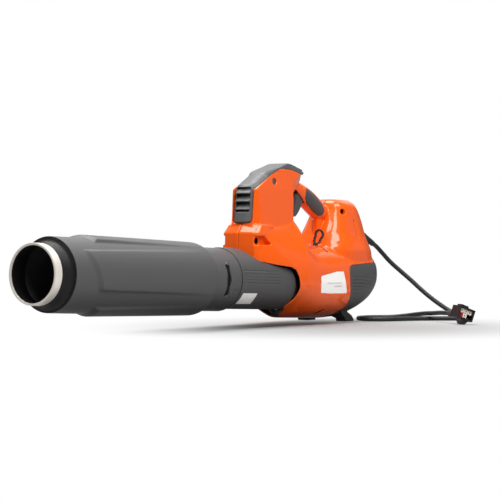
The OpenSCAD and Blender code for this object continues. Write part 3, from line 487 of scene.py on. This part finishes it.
# the flare is black plastic; the mouth and the inner wall are painted black, as painted shade inside the tube
for f in tube.data.polygons:
    r = max(math.hypot(tube.data.vertices[v].co.y, tube.data.vertices[v].co.z) for v in f.vertices)
    if r < 47 or f.center.x < 36.8 or (r < 62 and f.center.x > 40 and r < tube_r(f.center.x) - 1.2):
        f.material_index = 1
place(tube, "nozzle", angle=38)
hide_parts("blow_tube")

pipe_wall = [(PIPE_BORE, PIPE_START), (PIPE_R, PIPE_START), (PIPE_R, PIPE_END), (PIPE_BORE, PIPE_END)]
pipe = lathe("pipe_skin", fillet(pipe_wall, 0.5, 3), 288)
# a bayonet slot and two thin lines on each side
for turn in (0, 180):
    m, edge = 28, []
    for k in range(m + 1):
        f = -1 + 2 * k / m
        e = SLOT_HALF * (1 - abs(f) ** 12) ** 0.5 * (0.86 + 0.14 * math.cos(6.3 * f))
        edge.append((math.radians(turn - SLOT_BACK + SLOT_SWEEP * f), max(0.6, e)))
    rings = [[Vector((SLOT_S + sx * e, -r * math.cos(t), r * math.sin(t))) for sx, r in
              ((-1, 50), (1, 50), (1, 59), (-1, 59))] for t, e in edge]
    cut(pipe, loft("slot_tool", rings))
    for s, drop_to, width in MARKS:
        y = -math.copysign(math.sqrt(PIPE_R ** 2 - drop_to ** 2) + 0.1, 1 if turn == 0 else -1)
        cut(pipe, rod("mark_tool", (s, y, drop_to), (PIPE_END + 1, y, drop_to), width, n=12))
finish_with(pipe, TUBE)
place(pipe, "nozzle", angle=38)
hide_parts("extension_pipe")
for k, turn in enumerate((30, 210)):
    q = Vector((0, -math.cos(math.radians(turn)), math.sin(math.radians(turn))))
    pin_wall = [(0.01, 0), (PIN_R, 0), (PIN_R, PIN_RISE), (0.01, PIN_RISE)]
    pin = lathe("bayonet_pin_%d" % k, fillet(pin_wall, 0.7, 3), 40)
    stand = q.to_track_quat("X", "Z").to_matrix().to_4x4()
    pin.data.transform(Matrix.Translation(Vector((PIN_S, 0, 0)) + q * PIN_FOOT) @ stand)
    finish_with(pin, STEEL)
    place(pin)

# ---- body: smooth lofts that follow the shells of the frame ----

# body: station, share of the full width, top, bottom, height of the widest line, crown, squareness, chin
BODY = [
    (541, 0.53, 85, -46, 20, 0.86, 8, 0.3), (553, 0.59, 100, -50, 20, 0.80, 6, 0.3),
    (580, 0.72, 107, -54, 14, 0.78, 4, 0.3), (620, 0.86, 116, -60, 6, 0.64, 3, 0.3),
    (655, 0.95, 126, -66, 0, 0.58, 2.6, 0.4), (669, 0.98, 128, -67, 0, 0.60, 2.6, 0.6),
    (682, 0.99, 108, -67, 0, 0.70, 2.6, 0.7), (693, 1, 90, -67, 0, 0.78, 2.6, 0.8),
    (708, 1, 78, -67, 0, 0.84, 2.6, 0.9), (730, 1, 73, -67, 0, 0.88, 2.5, 1),
    (770, 1, 71, -67, 0, 0.95, 2.6, 1), (820, 1, 71, -64, 2, 0.95, 2.5, 1),
    (850, 1, 72, -57, 5, 0.90, 2.4, 1), (880, 0.985, 73, -45, 10, 0.86, 2.4, 1),
    (900, 0.92, 71, -31, 16, 0.86, 2.4, 1), (914, 0.79, 67, -14, 22, 0.90, 2.4, 1),
    (923, 0.62, 60, 4, 28, 0.95, 2.4, 1), (928, 0.40, 54, 18, 34, 1, 2.4, 1)]
BODY_START, BODY_END, BODY_HALF, BODY_STEP = 553, 928, 73, 4
SKIN = 2.6    # wall of the shells around the body, and of the cover
SEAM = 0.25   # half the gap between the shells
BESIDE = 120  # beyond the machine on either side
# grids on which edges are rounded: of the shells, sleeve and cover, and of the panels and the grille
SHELL_GRID, PANEL_GRID = 1.0, 0.7
# dome: height, front, rear, half width
DOME = [(40, 768, 924, 64), (60, 770, 921, 63), (75, 776, 917, 58), (96, 786, 911, 49), (120, 800, 903, 43),
        (140, 809, 893, 38), (152, 812, 887, 31), (159.5, 820, 878, 20)]
SLEEVE_CURVE = [(480, 62), (514, 59), (522, 56), (532, 45), (541, 38), (552, 33), (590, 28), (624, 25),
                (635, 20), (642, 8), (646, -10), (645, -30), (640, -46), (646, -52), (658, -66), (658, -72),
                (480, -72)]
TOWER = [(551, 92), (555, 165), (567, 172), (611, 200), (644, 206.6), (671, 206.4), (708, 199), (711, 188),
         (704, 178), (680, 168), (672, 162), (677, 119), (678, 92)]
TOWER_FRONT = [(33.5, 80), (33.5, 100), (27.5, 168), (25, 186), (22, 215)]
TOWER_PLAN = [(530, 23), (557, 23.6), (560, 28), (564.5, 31.4), (566, 40), (665, 40), (668, 31.5), (678, 25),
              (720, 25)]
# post under the rear of the handle: foot, head, radius
COLUMN = ((794, 0, 55), (794, 0, 127), 10.5)
# plan of the shoulder block, and the plan of its top edge
SHOULDER = [(541, 0.5), (545, 33.5), (552, 40), (563, 42), (580, 41), (600, 38)]
SHOULDER_TOP = [(551.5, 0.5), (556.5, 32), (563.5, 37), (574, 38), (590, 38), (600, 36)]
# the top chamfer of the tower: inner line, outer line, each by its two ends
TOWER_EDGE = (((543, -23.2, 157), (643, -24, 211)), ((540, -33.5, 149), (636, -25.5, 208)))
BEAK = ((685, -26.5, 193), (713, -17, 197), (705, -13, 174))
COVER_FRONT = [(547, 103), (551, 167), (556, 173), (564, 177), (597, 198), (636, 210), (650, 214), (650, 180),
               (600, 150), (600, 103)]
COVER_FRONT_EDGE = [(558, 107), (564, 162), (567, 168), (575, 175), (607, 192.8), (637, 206.6), (650, 208.8),
                    (650, 180), (603, 150), (603, 107)]
COVER_ROOM = [(547, 103), (551, 167), (556, 173), (564, 177), (597, 198), (632, 214), (632, 180), (600, 150),
              (600, 103)]
COVER_CAP = [(590, 190), (597, 198), (636, 210), (658, 217), (667, 218), (670.4, 214.2), (710, 204.8),
             (712.4, 205.2), (711, 199.4), (708, 199), (671, 206.4), (644, 206.6), (611, 200)]
COVER_CAP_EDGE = [(592, 184), (603, 192.3), (636, 208), (656, 215.4), (667, 217), (670.4, 213.4),
                  (710, 204.2), (712, 204.6), (710.8, 199.2), (708, 198.8), (671, 206.2), (644, 206.3),
                  (611, 198)]
LEAF = [(735, 175), (732, 166), (733, 157), (741, 147.5), (765, 133), (780, 126), (788, 128), (791, 137),
        (784, 147.5), (768, 160.5), (750, 170.5)]
PLATE = [(705, 9), (706, -21), (789, -19), (790, -14), (779, 22), (774, 24), (709, 12)]
PLATE_WELL, NOTCH_WELL = -71.4, -71.2
GRILLE_HALF, PANEL_EDGE = 39.8, 40.2
# how far inside the panels' line the shell ends and the panels begin
SHELL_IN, PANEL_IN = 0.1, 0.4
PANEL_LINE = [(960, 46), (812, 34), (804, 30), (801, 22), (802, -2), (806, -28), (803, -44), (790, -56),
              (770, -68), (770, -80), (960, -80)]
HANDLE = [(700, 183, 11), (712, 177, 12.5), (726, 170.5, 15), (741, 163, 17.5), (757, 155, 18.5),
          (781, 142, 18.5), (797, 133.5, 18), (804, 130.5, 17)]
HANDLE_FLAT = 0.94    # its width as a share of its height
GRIP_DEPTH = 2.4      # how deep the grip inserts sit in it
# gaps in the shell around what it holds
SLEEVE_GAP, COVER_GAP, CAP_GAP, LEAF_GAP, PLATE_GAP = 0.6, 0.6, 0.5, 0.5, 2.2
COVER_ROOM_HALF, CAP_ROOM_HALF, TRIGGER_ROOM_HALF = 23, 22.4, 8.3
TRIGGER_ROOM = [(706, 172), (735, 172), (740, 160), (737, 146), (731, 128), (716, 110), (690, 116),
                (700, 160)]
# pockets in the shoulder and slots near the floor, each with its nearest and furthest y
POCKET = [(538, 79.5), (566, 80.2), (581, 64.6), (538, 63.5)]
POCKET_Y = (32, 60)
BOSS_Y = (24, 80)
LOW_SLOT_Y = (40, 90)
LOW_SLOTS = ([(652, -54.5), (652, -50.5), (673, -50), (673, -53.5)],
             [(725, -61), (726, -56.5), (743, -47), (742, -51.5)])
# notches beside the plate, by two corners
NOTCHES = (((699, -3), (706, 3)), ((716, 14), (733, 17.5)), ((789, -16), (795, -9)), ((770, 22), (783, 27)))
# slot of the hanging eye, by two corners
EYE_SLOT = ((754.4, -52, 56), (759.6, -12, 90))
# shallow groove down the dome, and the hole of the gland: two ends and a radius
GROOVE = ((855, -44.5, 121), (859, -55, 88), 4.4)
GLAND_HOLE = (GLAND_ROOT - Vector((14, 1.3, -6)), GLAND_ROOT + Vector((20, -1.8, -9)), 7.4)
# screws on the left: place, bottom and radius of the well, and how far from the seam the painted shade in it
# reaches
SCREWS = ((615, 181, -5, 5.8, 22), (554.5, 71, -8, 5.8, 30.5), (826, 135, -8, 5.8, 32),
          (657, -59, -30, 3.2, 0))
WELL_SHADE_R = 6.6    # radius of that painted shade


def between(lines, x):
    """Values at x on a smooth curve through the lines, without overshoot."""
    xs = [q[0] for q in lines]
    i = max(0, min(len(xs) - 2, next((k for k in range(len(xs) - 1) if x <= xs[k + 1]), len(xs) - 2)))
    h = xs[i + 1] - xs[i]
    t = (x - xs[i]) / h
    out = []
    for c in range(1, len(lines[0])):
        def slope(k):
            if k <= 0 or k >= len(xs) - 1:
                a = max(0, min(len(xs) - 2, k if k <= 0 else k - 1))
                return (lines[a + 1][c] - lines[a][c]) / (xs[a + 1] - xs[a])
            p = (lines[k][c] - lines[k - 1][c]) / (xs[k] - xs[k - 1])
            q = (lines[k + 1][c] - lines[k][c]) / (xs[k + 1] - xs[k])
            return 0 if p * q <= 0 else 2 * p * q / (p + q)
        a, b, m, n = lines[i][c], lines[i + 1][c], slope(i) * h, slope(i + 1) * h
        out.append((2 * t ** 3 - 3 * t * t + 1) * a + (t ** 3 - 2 * t * t + t) * m
                   + (3 * t * t - 2 * t ** 3) * b + (t ** 3 - t * t) * n)
    return out


def power(v, p):
    """v to the power p, with its sign kept."""
    return math.copysign(abs(v) ** p, v)


def body_ring(x, inset):
    """Cross-section of the body at station x, moved in by inset."""
    share, top, low, wide, crown, square, chin = between(BODY, x)
    w, p, out = share * BODY_HALF - inset, 2 / square, []
    for a in turns(240):
        t = power(math.sin(a), p)
        k = 1 - (1 - (crown if t > 0 else chin)) * t * t
        out.append(Vector((x, power(math.cos(a), p) * w * k,
                           wide + t * ((top - wide if t > 0 else wide - low) - inset))))
    return out


def body_loft(name, inset=0, ends=0):
    """The body, moved in by inset and shortened by ends at both ends."""
    x0, x1 = BODY_START + ends, BODY_END - ends
    m = int((x1 - x0) / BODY_STEP)
    return loft(name, [body_ring(x0 + (x1 - x0) * k / m, inset) for k in range(m + 1)])


def dome_ring(z):
    """Plan of the dome at height z."""
    front, rear, half = between(DOME, z)
    mid, reach = (front + rear) / 2, (rear - front) / 2
    return [Vector((mid + power(math.cos(a), 2 / 3) * reach, power(math.sin(a), 2 / 3) * half, z))
            for a in turns(288)]


def swept(name, path, grow=0):
    """Oval bar along (station, height, radius) points on the seam, with a ball at its far end."""
    steps, pts = 6, []
    for i in range(len(path) - 1):
        for k in range(steps):
            f = k / steps
            pts.append([path[i][c] * (1 - f) + path[i + 1][c] * f for c in range(3)])
    pts.append(list(path[-1]))
    rings = []
    for i, p in enumerate(pts):
        a, b = pts[max(0, i - 1)], pts[min(len(pts) - 1, i + 1)]
        d = Vector((b[0] - a[0], 0, b[1] - a[1])).normalized()
        up = Vector((-d.z, 0, d.x))
        caps = [(0, 1)]
        if i == len(pts) - 1:
            caps = [(math.sin(q), math.cos(q)) for q in map(math.radians, (0, 15, 30, 45, 60, 75, 84))]
        for far, near in caps:
            r = (p[2] + grow) * near
            c = Vector((p[0], 0, p[1])) + d * (p[2] + grow) * far
            rings.append([c + up * r * math.sin(t) + Vector((0, HANDLE_FLAT * r * math.cos(t), 0))
                          for t in turns(40)])
    return loft(name, rings)


def join(name, parts):
    """One object with the meshes of all parts."""
    verts, faces = [], []
    for o in parts:
        base = len(verts)
        verts += [v.co.copy() for v in o.data.vertices]
        faces += [[base + i for i in f.vertices] for f in o.data.polygons]
    drop(*parts)
    me = bpy.data.meshes.new(name)
    me.from_pydata([tuple(v) for v in verts], [], faces)
    o = bpy.data.objects.new(name, me)
    bpy.context.collection.objects.link(o)
    return o


def mirrored(half):
    """A closed outline from the half of it whose second values are positive."""
    return [tuple(p) for p in half] + [(p[0], -p[1]) for p in reversed(half)]


def shave(o, a, b, c):
    """Takes away what lies near and beyond the plane through a, b, c, on the side that their turn faces."""
    depth, size = 60, 19
    a, b, c = Vector(a), Vector(b), Vector(c)
    up = (b - a).cross(c - a).normalized()
    mid, u = (a + b + c) / 3, (b - a).normalized()
    v = up.cross(u)
    corners = ((-1, -1), (1, -1), (1, 1), (-1, 1))
    rings = [[mid + up * h + u * (size * i) + v * (size * j) for i, j in corners] for h in (0, depth)]
    return cut(o, loft("shave_tool", rings))


def flip(p):
    """The same point on the other side of the seam."""
    return (p[0], -p[1], p[2])


tower = slab("tower_side", fillet(TOWER, 3), -40, 40)
tower_front = TOWER_FRONT + [(-y, z) for y, z in reversed(TOWER_FRONT)]
cut(tower, front_prism("tower_front", tower_front, 500, 760), how="INTERSECT")
cut(tower, plan_prism("tower_plan", fillet(mirrored(TOWER_PLAN), 1.5), 60, 240), how="INTERSECT")
for side in (1, -1):
    rings = []
    for k in (0, 1):
        p, q = (Vector(line[k] if side > 0 else flip(line[k])) for line in TOWER_EDGE)
        along = (q - p) * 0.6
        out = Vector((-0.42, -0.46 * side, 0.78)) * 40
        rings.append([p - along, q + along, q + along + out, p - along + out])
    cut(tower, loft("edge_tool", rings))
a, b, c = BEAK
shave(tower, a, c, b)
shave(tower, flip(a), flip(b), flip(c))
dome_low, dome_top = DOME[0][0], DOME[-1][0]
dome = loft("dome", [dome_ring(dome_low + (dome_top - dome_low) * k / 60) for k in range(61)])
column = rod("column", *COLUMN)
handle = swept("handle", HANDLE)
body = body_loft("body")

# faceted block at the front of the body, with its bevel along the top
shoulder = []
for z, scale, plan in ((-46, 0.5, SHOULDER), (-20, 0.86, SHOULDER), (20, 1.06, SHOULDER),
                       (60, 1.03, SHOULDER), (84.9, 1, SHOULDER), (100.6, 1, SHOULDER_TOP)):
    shoulder.append([Vector((p[0], p[1], z)) for p in mirrored([(q[0], q[1] * scale) for q in plan])])
solid = cut(body, loft("shoulder", shoulder), tower, dome, column, handle, how="UNION")

hollow = body_loft("hollow", SKIN, SKIN)
for side in (-1, 1):
    y0, y1 = sorted(side * y for y in BOSS_Y)
    cut(hollow, block("pocket_boss", (530, y0, 56), (592, y1, 88)))
shell = copy(solid, "shell")
cut(shell, copy(hollow, "hollow_tool"))
cut(shell, slab("sleeve_tool", grown(SLEEVE_CURVE, SLEEVE_GAP), -100, 100))
cover_room = slab("cover_tool", fillet(grown(COVER_ROOM, COVER_GAP), 2), -COVER_ROOM_HALF, COVER_ROOM_HALF)
room_face = [(-COVER_ROOM_HALF, 103), (COVER_ROOM_HALF, 103), (COVER_ROOM_HALF, 240), (-COVER_ROOM_HALF, 240)]
cut(cover_room, front_prism("cover_round", fillet(room_face, 8), 500, 700), how="INTERSECT")
cut(shell, cover_room)
leaf_room = slab("leaf_tool", fillet(grown(LEAF, LEAF_GAP), 2), -40, 40)
cut(leaf_room, swept("leaf_core", HANDLE, grow=-GRIP_DEPTH))
cut(shell, leaf_room)
cut(shell, slab("cap_tool", grown(COVER_CAP, CAP_GAP), -CAP_ROOM_HALF, CAP_ROOM_HALF))
cut(shell, slab("panel_tool", fillet(grown(PANEL_LINE, -SHELL_IN), 3), -100, 100))
cut(shell, slab("trigger_tool", TRIGGER_ROOM, -TRIGGER_ROOM_HALF, TRIGGER_ROOM_HALF))
# the well of the plate, with its notches
cut(shell, slab("plate_tool", fillet(grown(PLATE, PLATE_GAP), 3), -100, PLATE_WELL))
for lo, hi in NOTCHES:
    cut(shell, block("notch_tool", (lo[0], -100, lo[1]), (hi[0], NOTCH_WELL, hi[1])))
cut(shell, block("eye_tool", *EYE_SLOT))
for sx, sz, bottom, r, dark in SCREWS:
    cut(shell, rod("screw_tool", (sx, -100, sz), (sx, bottom, sz), r))
for side in (-1, 1):
    cut(shell, slab("pocket_tool", fillet(POCKET, 1.5), *sorted(side * y for y in POCKET_Y)))
    for low_slot in LOW_SLOTS:
        cut(shell, slab("low_slot", low_slot, *sorted(side * y for y in LOW_SLOT_Y)))
cut(shell, rod("gland_tool", *GLAND_HOLE))
cut(shell, rod("groove_tool", *GROOVE))
for name, node, y0, y1 in (("shell_left", "housing_left", -SEAM, BESIDE),
                           ("shell_right", "housing_right", -BESIDE, SEAM)):
    half = copy(shell, name)
    cut(half, block("side_tool", (480, y0, -120), (980, y1, 260)))
    soften(half, SHELL_GRID, rounds=12)
    finish_with(half, ORANGE, DUCT_BLACK_AND_SHADE)
    # painted shade: the walls near the bottom of each screw well take the black duct material, so the well
    # looks dark
    for f in half.data.polygons:
        for sx, sz, bottom, r, dark in SCREWS:
            if -dark < f.center.y < 0 and math.hypot(f.center.x - sx, f.center.z - sz) < WELL_SHADE_R:
                f.material_index = 1
    place(half, angle=0)
    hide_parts(node)
drop(shell)

# ---- side panels and grille ----

# flutes of the panels: how many, height of the first, spacing, radius, and how far from the seam they lie
FLUTES, FLUTE_TOP, FLUTE_PITCH, FLUTE_R, FLUTE_Y = 5, 12, 6.25, 2.0, 73.6
# slots of the grille: how many, lowest edge, spacing, width
GRILLE_SLOTS, GRILLE_LOW, GRILLE_PITCH, GRILLE_WIDTH = 8, -36, 8, 4.6

skin = copy(solid, "panel_skin")
cut(skin, slab("panel_keep", fillet(grown(PANEL_LINE, -PANEL_IN), 3), -100, 100), how="INTERSECT")
cut(skin, copy(hollow, "hollow_tool"))
for k in range(FLUTES):
    z = FLUTE_TOP - FLUTE_PITCH * k
    cut(skin, *[rod("flute_tool", (809, y, z), (873, y, z - 0.6), FLUTE_R) for y in (-FLUTE_Y, FLUTE_Y)])
for name, node, y0, y1 in (("panel_left", "side_panel_left", -BESIDE, -PANEL_EDGE),
                           ("panel_right", "side_panel_right", PANEL_EDGE, BESIDE),
                           ("grille", "inlet_grille", -GRILLE_HALF, GRILLE_HALF)):
    p = copy(skin, name)
    cut(p, block("keep_tool", (700, y0, -120), (990, y1, 120)), how="INTERSECT")
    if name == "grille":
        for k in range(GRILLE_SLOTS):
            z = GRILLE_LOW + GRILLE_PITCH * k
            cut(p, block("slot_tool", (830, -34, z), (950, 34, z + GRILLE_WIDTH)))
    soften(p, PANEL_GRID, rounds=4)
    finish_with(p, PANEL if name != "grille" else BLACK)
    place(p, angle=0)
    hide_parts(node)
drop(skin)

# ---- sleeve ----

SLEEVE_R, SLEEVE_BORE = 57.5, 55.5
FLAT = 51.5    # how far below the air axis its flat underside lies
SLEEVE_FLUTE_TOP, SLEEVE_FLUTE_PITCH, SLEEVE_FLUTE_R = 17, 5.5, 1.3
sleeve_rings = [[(r * math.cos(a), max(r * math.sin(a), -FLAT + SLEEVE_R - r)) for a in turns(240)]
                for r in (SLEEVE_R, SLEEVE_BORE)]
sleeve = front_prism("sleeve_skin", sleeve_rings[0], 482.4, 648)
cut(sleeve, front_prism("bore_tool", sleeve_rings[1], 470, 660))
for k in range(FLUTES):
    z = SLEEVE_FLUTE_TOP - SLEEVE_FLUTE_PITCH * k
    for side in (-1, 1):
        y = side * (math.sqrt(SLEEVE_R ** 2 - z * z) + 0.3)
        cut(sleeve, rod("flute_tool", (487 + 1.5 * k, y, z), (595, y, z - 0.4), SLEEVE_FLUTE_R, n=20))
cut(sleeve, slab("sleeve_keep", fillet(SLEEVE_CURVE, 4), -100, 100), how="INTERSECT")
soften(sleeve, SHELL_GRID, rounds=1)
finish_with(sleeve, SLEEVE)
place(sleeve, angle=0)
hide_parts("pipe_sleeve")

# ---- top cover ----

COVER_HALF = 22.3
# by two corners: window of the louvres, room behind the cover, seat of the keypad, and a black sheet of
# painted shade behind the louvres
WINDOW = ((540, -15.2, 123), (572, 15.2, 168))
BEHIND = ((563, -40, 90), (656, 40, 165))
SEAT = ((672, -16.4, 190), (706, 16.4, 230))
SHADE_SHEET = ((564, -17, 118), (566, 17, 170))
CROWN = 3.2    # how late the cover turns back towards its sides
# louvres: their heights, the side outline of one, its half width, and how far its ends sweep back
LOUVRES = (126.5, 141, 155.5)
SLAT = [(549.4, 0), (548.6, 2), (559.5, 12.6), (561.5, 11.2)]
SLAT_HALF, SLAT_SWEEP = 15.6, 3.4


def crowned(name, middle, edge, half, crown, n=18):
    """Plate whose side outline passes from the middle one to the edge one towards its two sides."""
    rings = []
    for k in range(-n, n + 1):
        y = half * math.sin(math.pi / 2 * k / n)
        f = (abs(y) / half) ** crown
        rings.append([Vector((p[0] * (1 - f) + q[0] * f, y, p[1] * (1 - f) + q[1] * f))
                      for p, q in zip(middle, edge)])
    return loft(name, rings)


cover = crowned("cover_front", fillet(COVER_FRONT, 4), fillet(COVER_FRONT_EDGE, 4), COVER_HALF, CROWN)
cut(cover, crowned("cover_room", grown(COVER_FRONT, -SKIN), grown(COVER_FRONT_EDGE, -SKIN), COVER_HALF - SKIN,
                   CROWN))
cut(cover, block("behind_tool", *BEHIND))
cut(cover, block("window_tool", *WINDOW))
cover_face = [(-COVER_HALF, 103.8), (COVER_HALF, 103.8), (COVER_HALF, 240), (-COVER_HALF, 240)]
cut(cover, front_prism("cover_round", fillet(cover_face, 8), 500, 700), how="INTERSECT")
cap = crowned("cover_cap", fillet(COVER_CAP, 1.2), fillet(COVER_CAP_EDGE, 1.2), COVER_HALF, 7)
cover = join("cover_skin", [cover, cap])
soften(cover, SHELL_GRID, rounds=2)
cut(cover, block("seat_tool", *SEAT))
finish_with(cover, COVER)
place(cover, angle=0)
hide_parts("top_cover")
for k, z in enumerate(LOUVRES):
    middle = fillet([(s, z + h) for s, h in SLAT], 0.7, 3)
    slat = crowned("louvre_%d" % k, middle, [(s + SLAT_SWEEP, h) for s, h in middle], SLAT_HALF, CROWN, 10)
    finish_with(slat, COVER)
    place(slat)
# painted shade: a thin black sheet behind the louvres stands in for the shade inside the cover
shade_sheet = block("louvre_screen", *SHADE_SHEET)
finish_with(shade_sheet, BLACK)
place(shade_sheet)
drop(solid, hollow)

# thin ruled lines on the bare plate: start, end, height, and how much each climbs
RULES = ((724, 772, -1.5), (748, 772, -7))
RULE_CLIMB = 0.9
plate_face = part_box("rating_plate")[0][1] * 1000
for k, (s0, s1, z) in enumerate(RULES):
    line = [(s0, z), (s1, z + RULE_CLIMB), (s1, z + 2 * RULE_CLIMB), (s0, z + RULE_CLIMB)]
    rule = slab("plate_rule_%d" % k, line, plate_face - 0.12, plate_face + 0.3)
    finish_with(rule, RULE)
    place(rule)

# ---- CAD nodes that keep their shape get their materials ----

for nodes, m in ((("fan_duct", "inlet_bell", "guide_vanes", "tail_cone"), DUCT_BLACK_AND_SHADE),
                 (("fan", "fan_spinner", "trigger_switch", "connector_shell"), BLACK),
                 (("keypad_bezel",), COVER), (("power_button",), GREEN),
                 (("boost_button", "cruise_button", "trigger"), BUTTON), (("status_lens",), LENS),
                 (("keypad_board", "control_board"), BOARD),
                 (("grip_insert_left", "grip_insert_right"), GRIP),
                 (("trigger_pin", "trigger_spring", "hanging_eye_pin"), STEEL),
                 (("motor_shaft", "front_bearing", "rear_bearing"), STEEL),
                 (("housing_screws",), DARK_STEEL), (("hanging_eye",), EYE),
                 (("motor_stator", "motor_rotor"), LAMINATE),
                 (("stator_windings",), COPPER), (("heat_sink",), ALLOY),
                 (("duct_dampers", "front_bumper", "foot_left", "foot_right"), RUBBER),
                 (("cord_gland", "connector_boot"), RUBBER),
                 (("motor_leads",), JACKET), (("rating_plate", "sleeve_sticker"), LABEL),
                 (("connector_insert",), CREAM), (("connector_key",), RED)):
    for name in nodes:
        finish_with(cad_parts[name], m)

# ---- light and floor ----


def softbox(name, where, aim, size, watts):
    """Rectangular light at where, turned towards aim."""
    d = bpy.data.lights.new(name, "AREA")
    d.shape, d.size, d.size_y, d.energy = "RECTANGLE", size[0], size[1], watts
    o = bpy.data.objects.new(name, d)
    bpy.context.collection.objects.link(o)
    o.location = where
    o.rotation_mode = "QUATERNION"
    o.rotation_quaternion = (Vector(aim) - Vector(where)).to_track_quat("-Z", "Y")
    return o


softbox("overhead", (-0.1, 0.5, 2.1), (0.0, 0.3, 0.1), (1.9, 1.5), 60)
strip = softbox("strip", (-0.15, -1.15, 1.95), (0.1, 0, 0.15), (1.9, 0.5), 24)
fill = softbox("fill", (-1.3, -2.0, 1.7), (0.1, 0, 0.12), (1.2, 1.0), 54)
fill.visible_glossy = False
side_panel = softbox("side panel", (2.2, -1.53, 0.45), (0.1, 0, 0.12), (1.6, 1.4), 1.5)

# the floor keeps its shadow near the machine, and round it a painted shadow: near a spot in front of the body
# it shows the camera only 0.56 of its light, and further out it passes into the white of the backdrop
FLOOR_HALF, FLOOR_Z = 12, -0.0005
corners = [(x * FLOOR_HALF, y * FLOOR_HALF, FLOOR_Z) for x, y in ((-1, -1), (1, -1), (1, 1), (-1, 1))]
floor = mesh_object("floor", corners, [(0, 1, 2, 3)])
pale = bpy.data.materials.new("pale floor with painted shadow")
pale.use_nodes = True
n, w = pale.node_tree.nodes, pale.node_tree.links.new
shade = n["Principled BSDF"]
shade.inputs["Roughness"].default_value = 0.9
shade.inputs["Specular IOR Level"].default_value = 0.0
path, tone, where, reach, fade, seen, far, mix, glow = (n.new("ShaderNode" + k) for k in (
    "LightPath", "Mix", "TexCoord", "VectorMath", "MapRange", "Math", "Math", "MixShader", "Emission"))
# a little paler to the camera than in the light that it throws back
tone.data_type = "RGBA"
tone.inputs["A"].default_value = (0.5, 0.5, 0.5, 1)
tone.inputs["B"].default_value = (0.56, 0.56, 0.56, 1)
w(path.outputs["Is Camera Ray"], tone.inputs["Factor"])
w(tone.outputs["Result"], shade.inputs["Base Color"])
# painted shadow: the floor stays grey within about half a metre of this spot and turns white beyond
reach.operation = "DISTANCE"
reach.inputs[1].default_value = (0.16, -0.15, 0)
w(where.outputs["Object"], reach.inputs[0])
w(reach.outputs["Value"], fade.inputs["Value"])
fade.interpolation_type = "SMOOTHSTEP"
fade.inputs["From Min"].default_value, fade.inputs["From Max"].default_value = 0.08, 0.5
seen.operation, far.operation = "MULTIPLY_ADD", "MULTIPLY"
w(path.outputs["Is Glossy Ray"], seen.inputs[0])
seen.inputs[1].default_value = 0.3
w(path.outputs["Is Camera Ray"], seen.inputs[2])
w(seen.outputs[0], far.inputs[0])
w(fade.outputs["Result"], far.inputs[1])
w(far.outputs[0], mix.inputs["Fac"])
w(shade.outputs[0], mix.inputs[1])
w(glow.outputs[0], mix.inputs[2])
w(mix.outputs[0], n["Material Output"].inputs["Surface"])
floor.data.materials.append(pale)
spared = bpy.data.collections.new("not under the near lights")
spared.objects.link(floor)
fill.light_linking.receiver_collection = strip.light_linking.receiver_collection = spared
side_panel.light_linking.receiver_collection = spared
spared.collection_objects[0].light_linking.link_state = "EXCLUDE"

# a dim room, plain white where the camera sees it; glossy rays alone see white up and behind the machine, a
# painted reflection that gives no more light than the dim room
world = bpy.data.worlds.new("studio")
bpy.context.scene.world = world
world.use_nodes = True
n, w = world.node_tree.nodes, world.node_tree.links.new
lit = n["Background"]
seen, mix, path, where, side, fade, clear, white, both = (n.new("ShaderNode" + k) for k in (
    "Background", "MixShader", "LightPath", "TexCoord", "VectorMath", "MapRange", "Math", "Math", "Math"))
side.operation = "DOT_PRODUCT"
side.inputs[1].default_value = (0.55, 0.42, 0.72)
w(where.outputs["Generated"], side.inputs[0])
w(side.outputs["Value"], fade.inputs["Value"])
fade.inputs["From Min"].default_value, fade.inputs["From Max"].default_value = 0.74, 0.86
w(path.outputs["Is Glossy Ray"], clear.inputs[0])
clear.operation = "MULTIPLY"
w(fade.outputs["Result"], clear.inputs[1])
w(path.outputs["Is Camera Ray"], white.inputs[0])
w(path.outputs["Is Transmission Ray"], white.inputs[1])
both.use_clamp = True
w(white.outputs[0], both.inputs[0])
w(clear.outputs[0], both.inputs[1])
lit.inputs["Strength"].default_value = 0.13
seen.inputs["Color"].default_value = lit.inputs["Color"].default_value = (1, 1, 1, 1)
seen.inputs["Strength"].default_value = 1.0
w(both.outputs[0], mix.inputs["Fac"])
w(lit.outputs[0], mix.inputs[1])
w(seen.outputs[0], mix.inputs[2])
w(mix.outputs[0], n["World Output"].inputs["Surface"])

bpy.context.scene.view_settings.view_transform = "Standard"
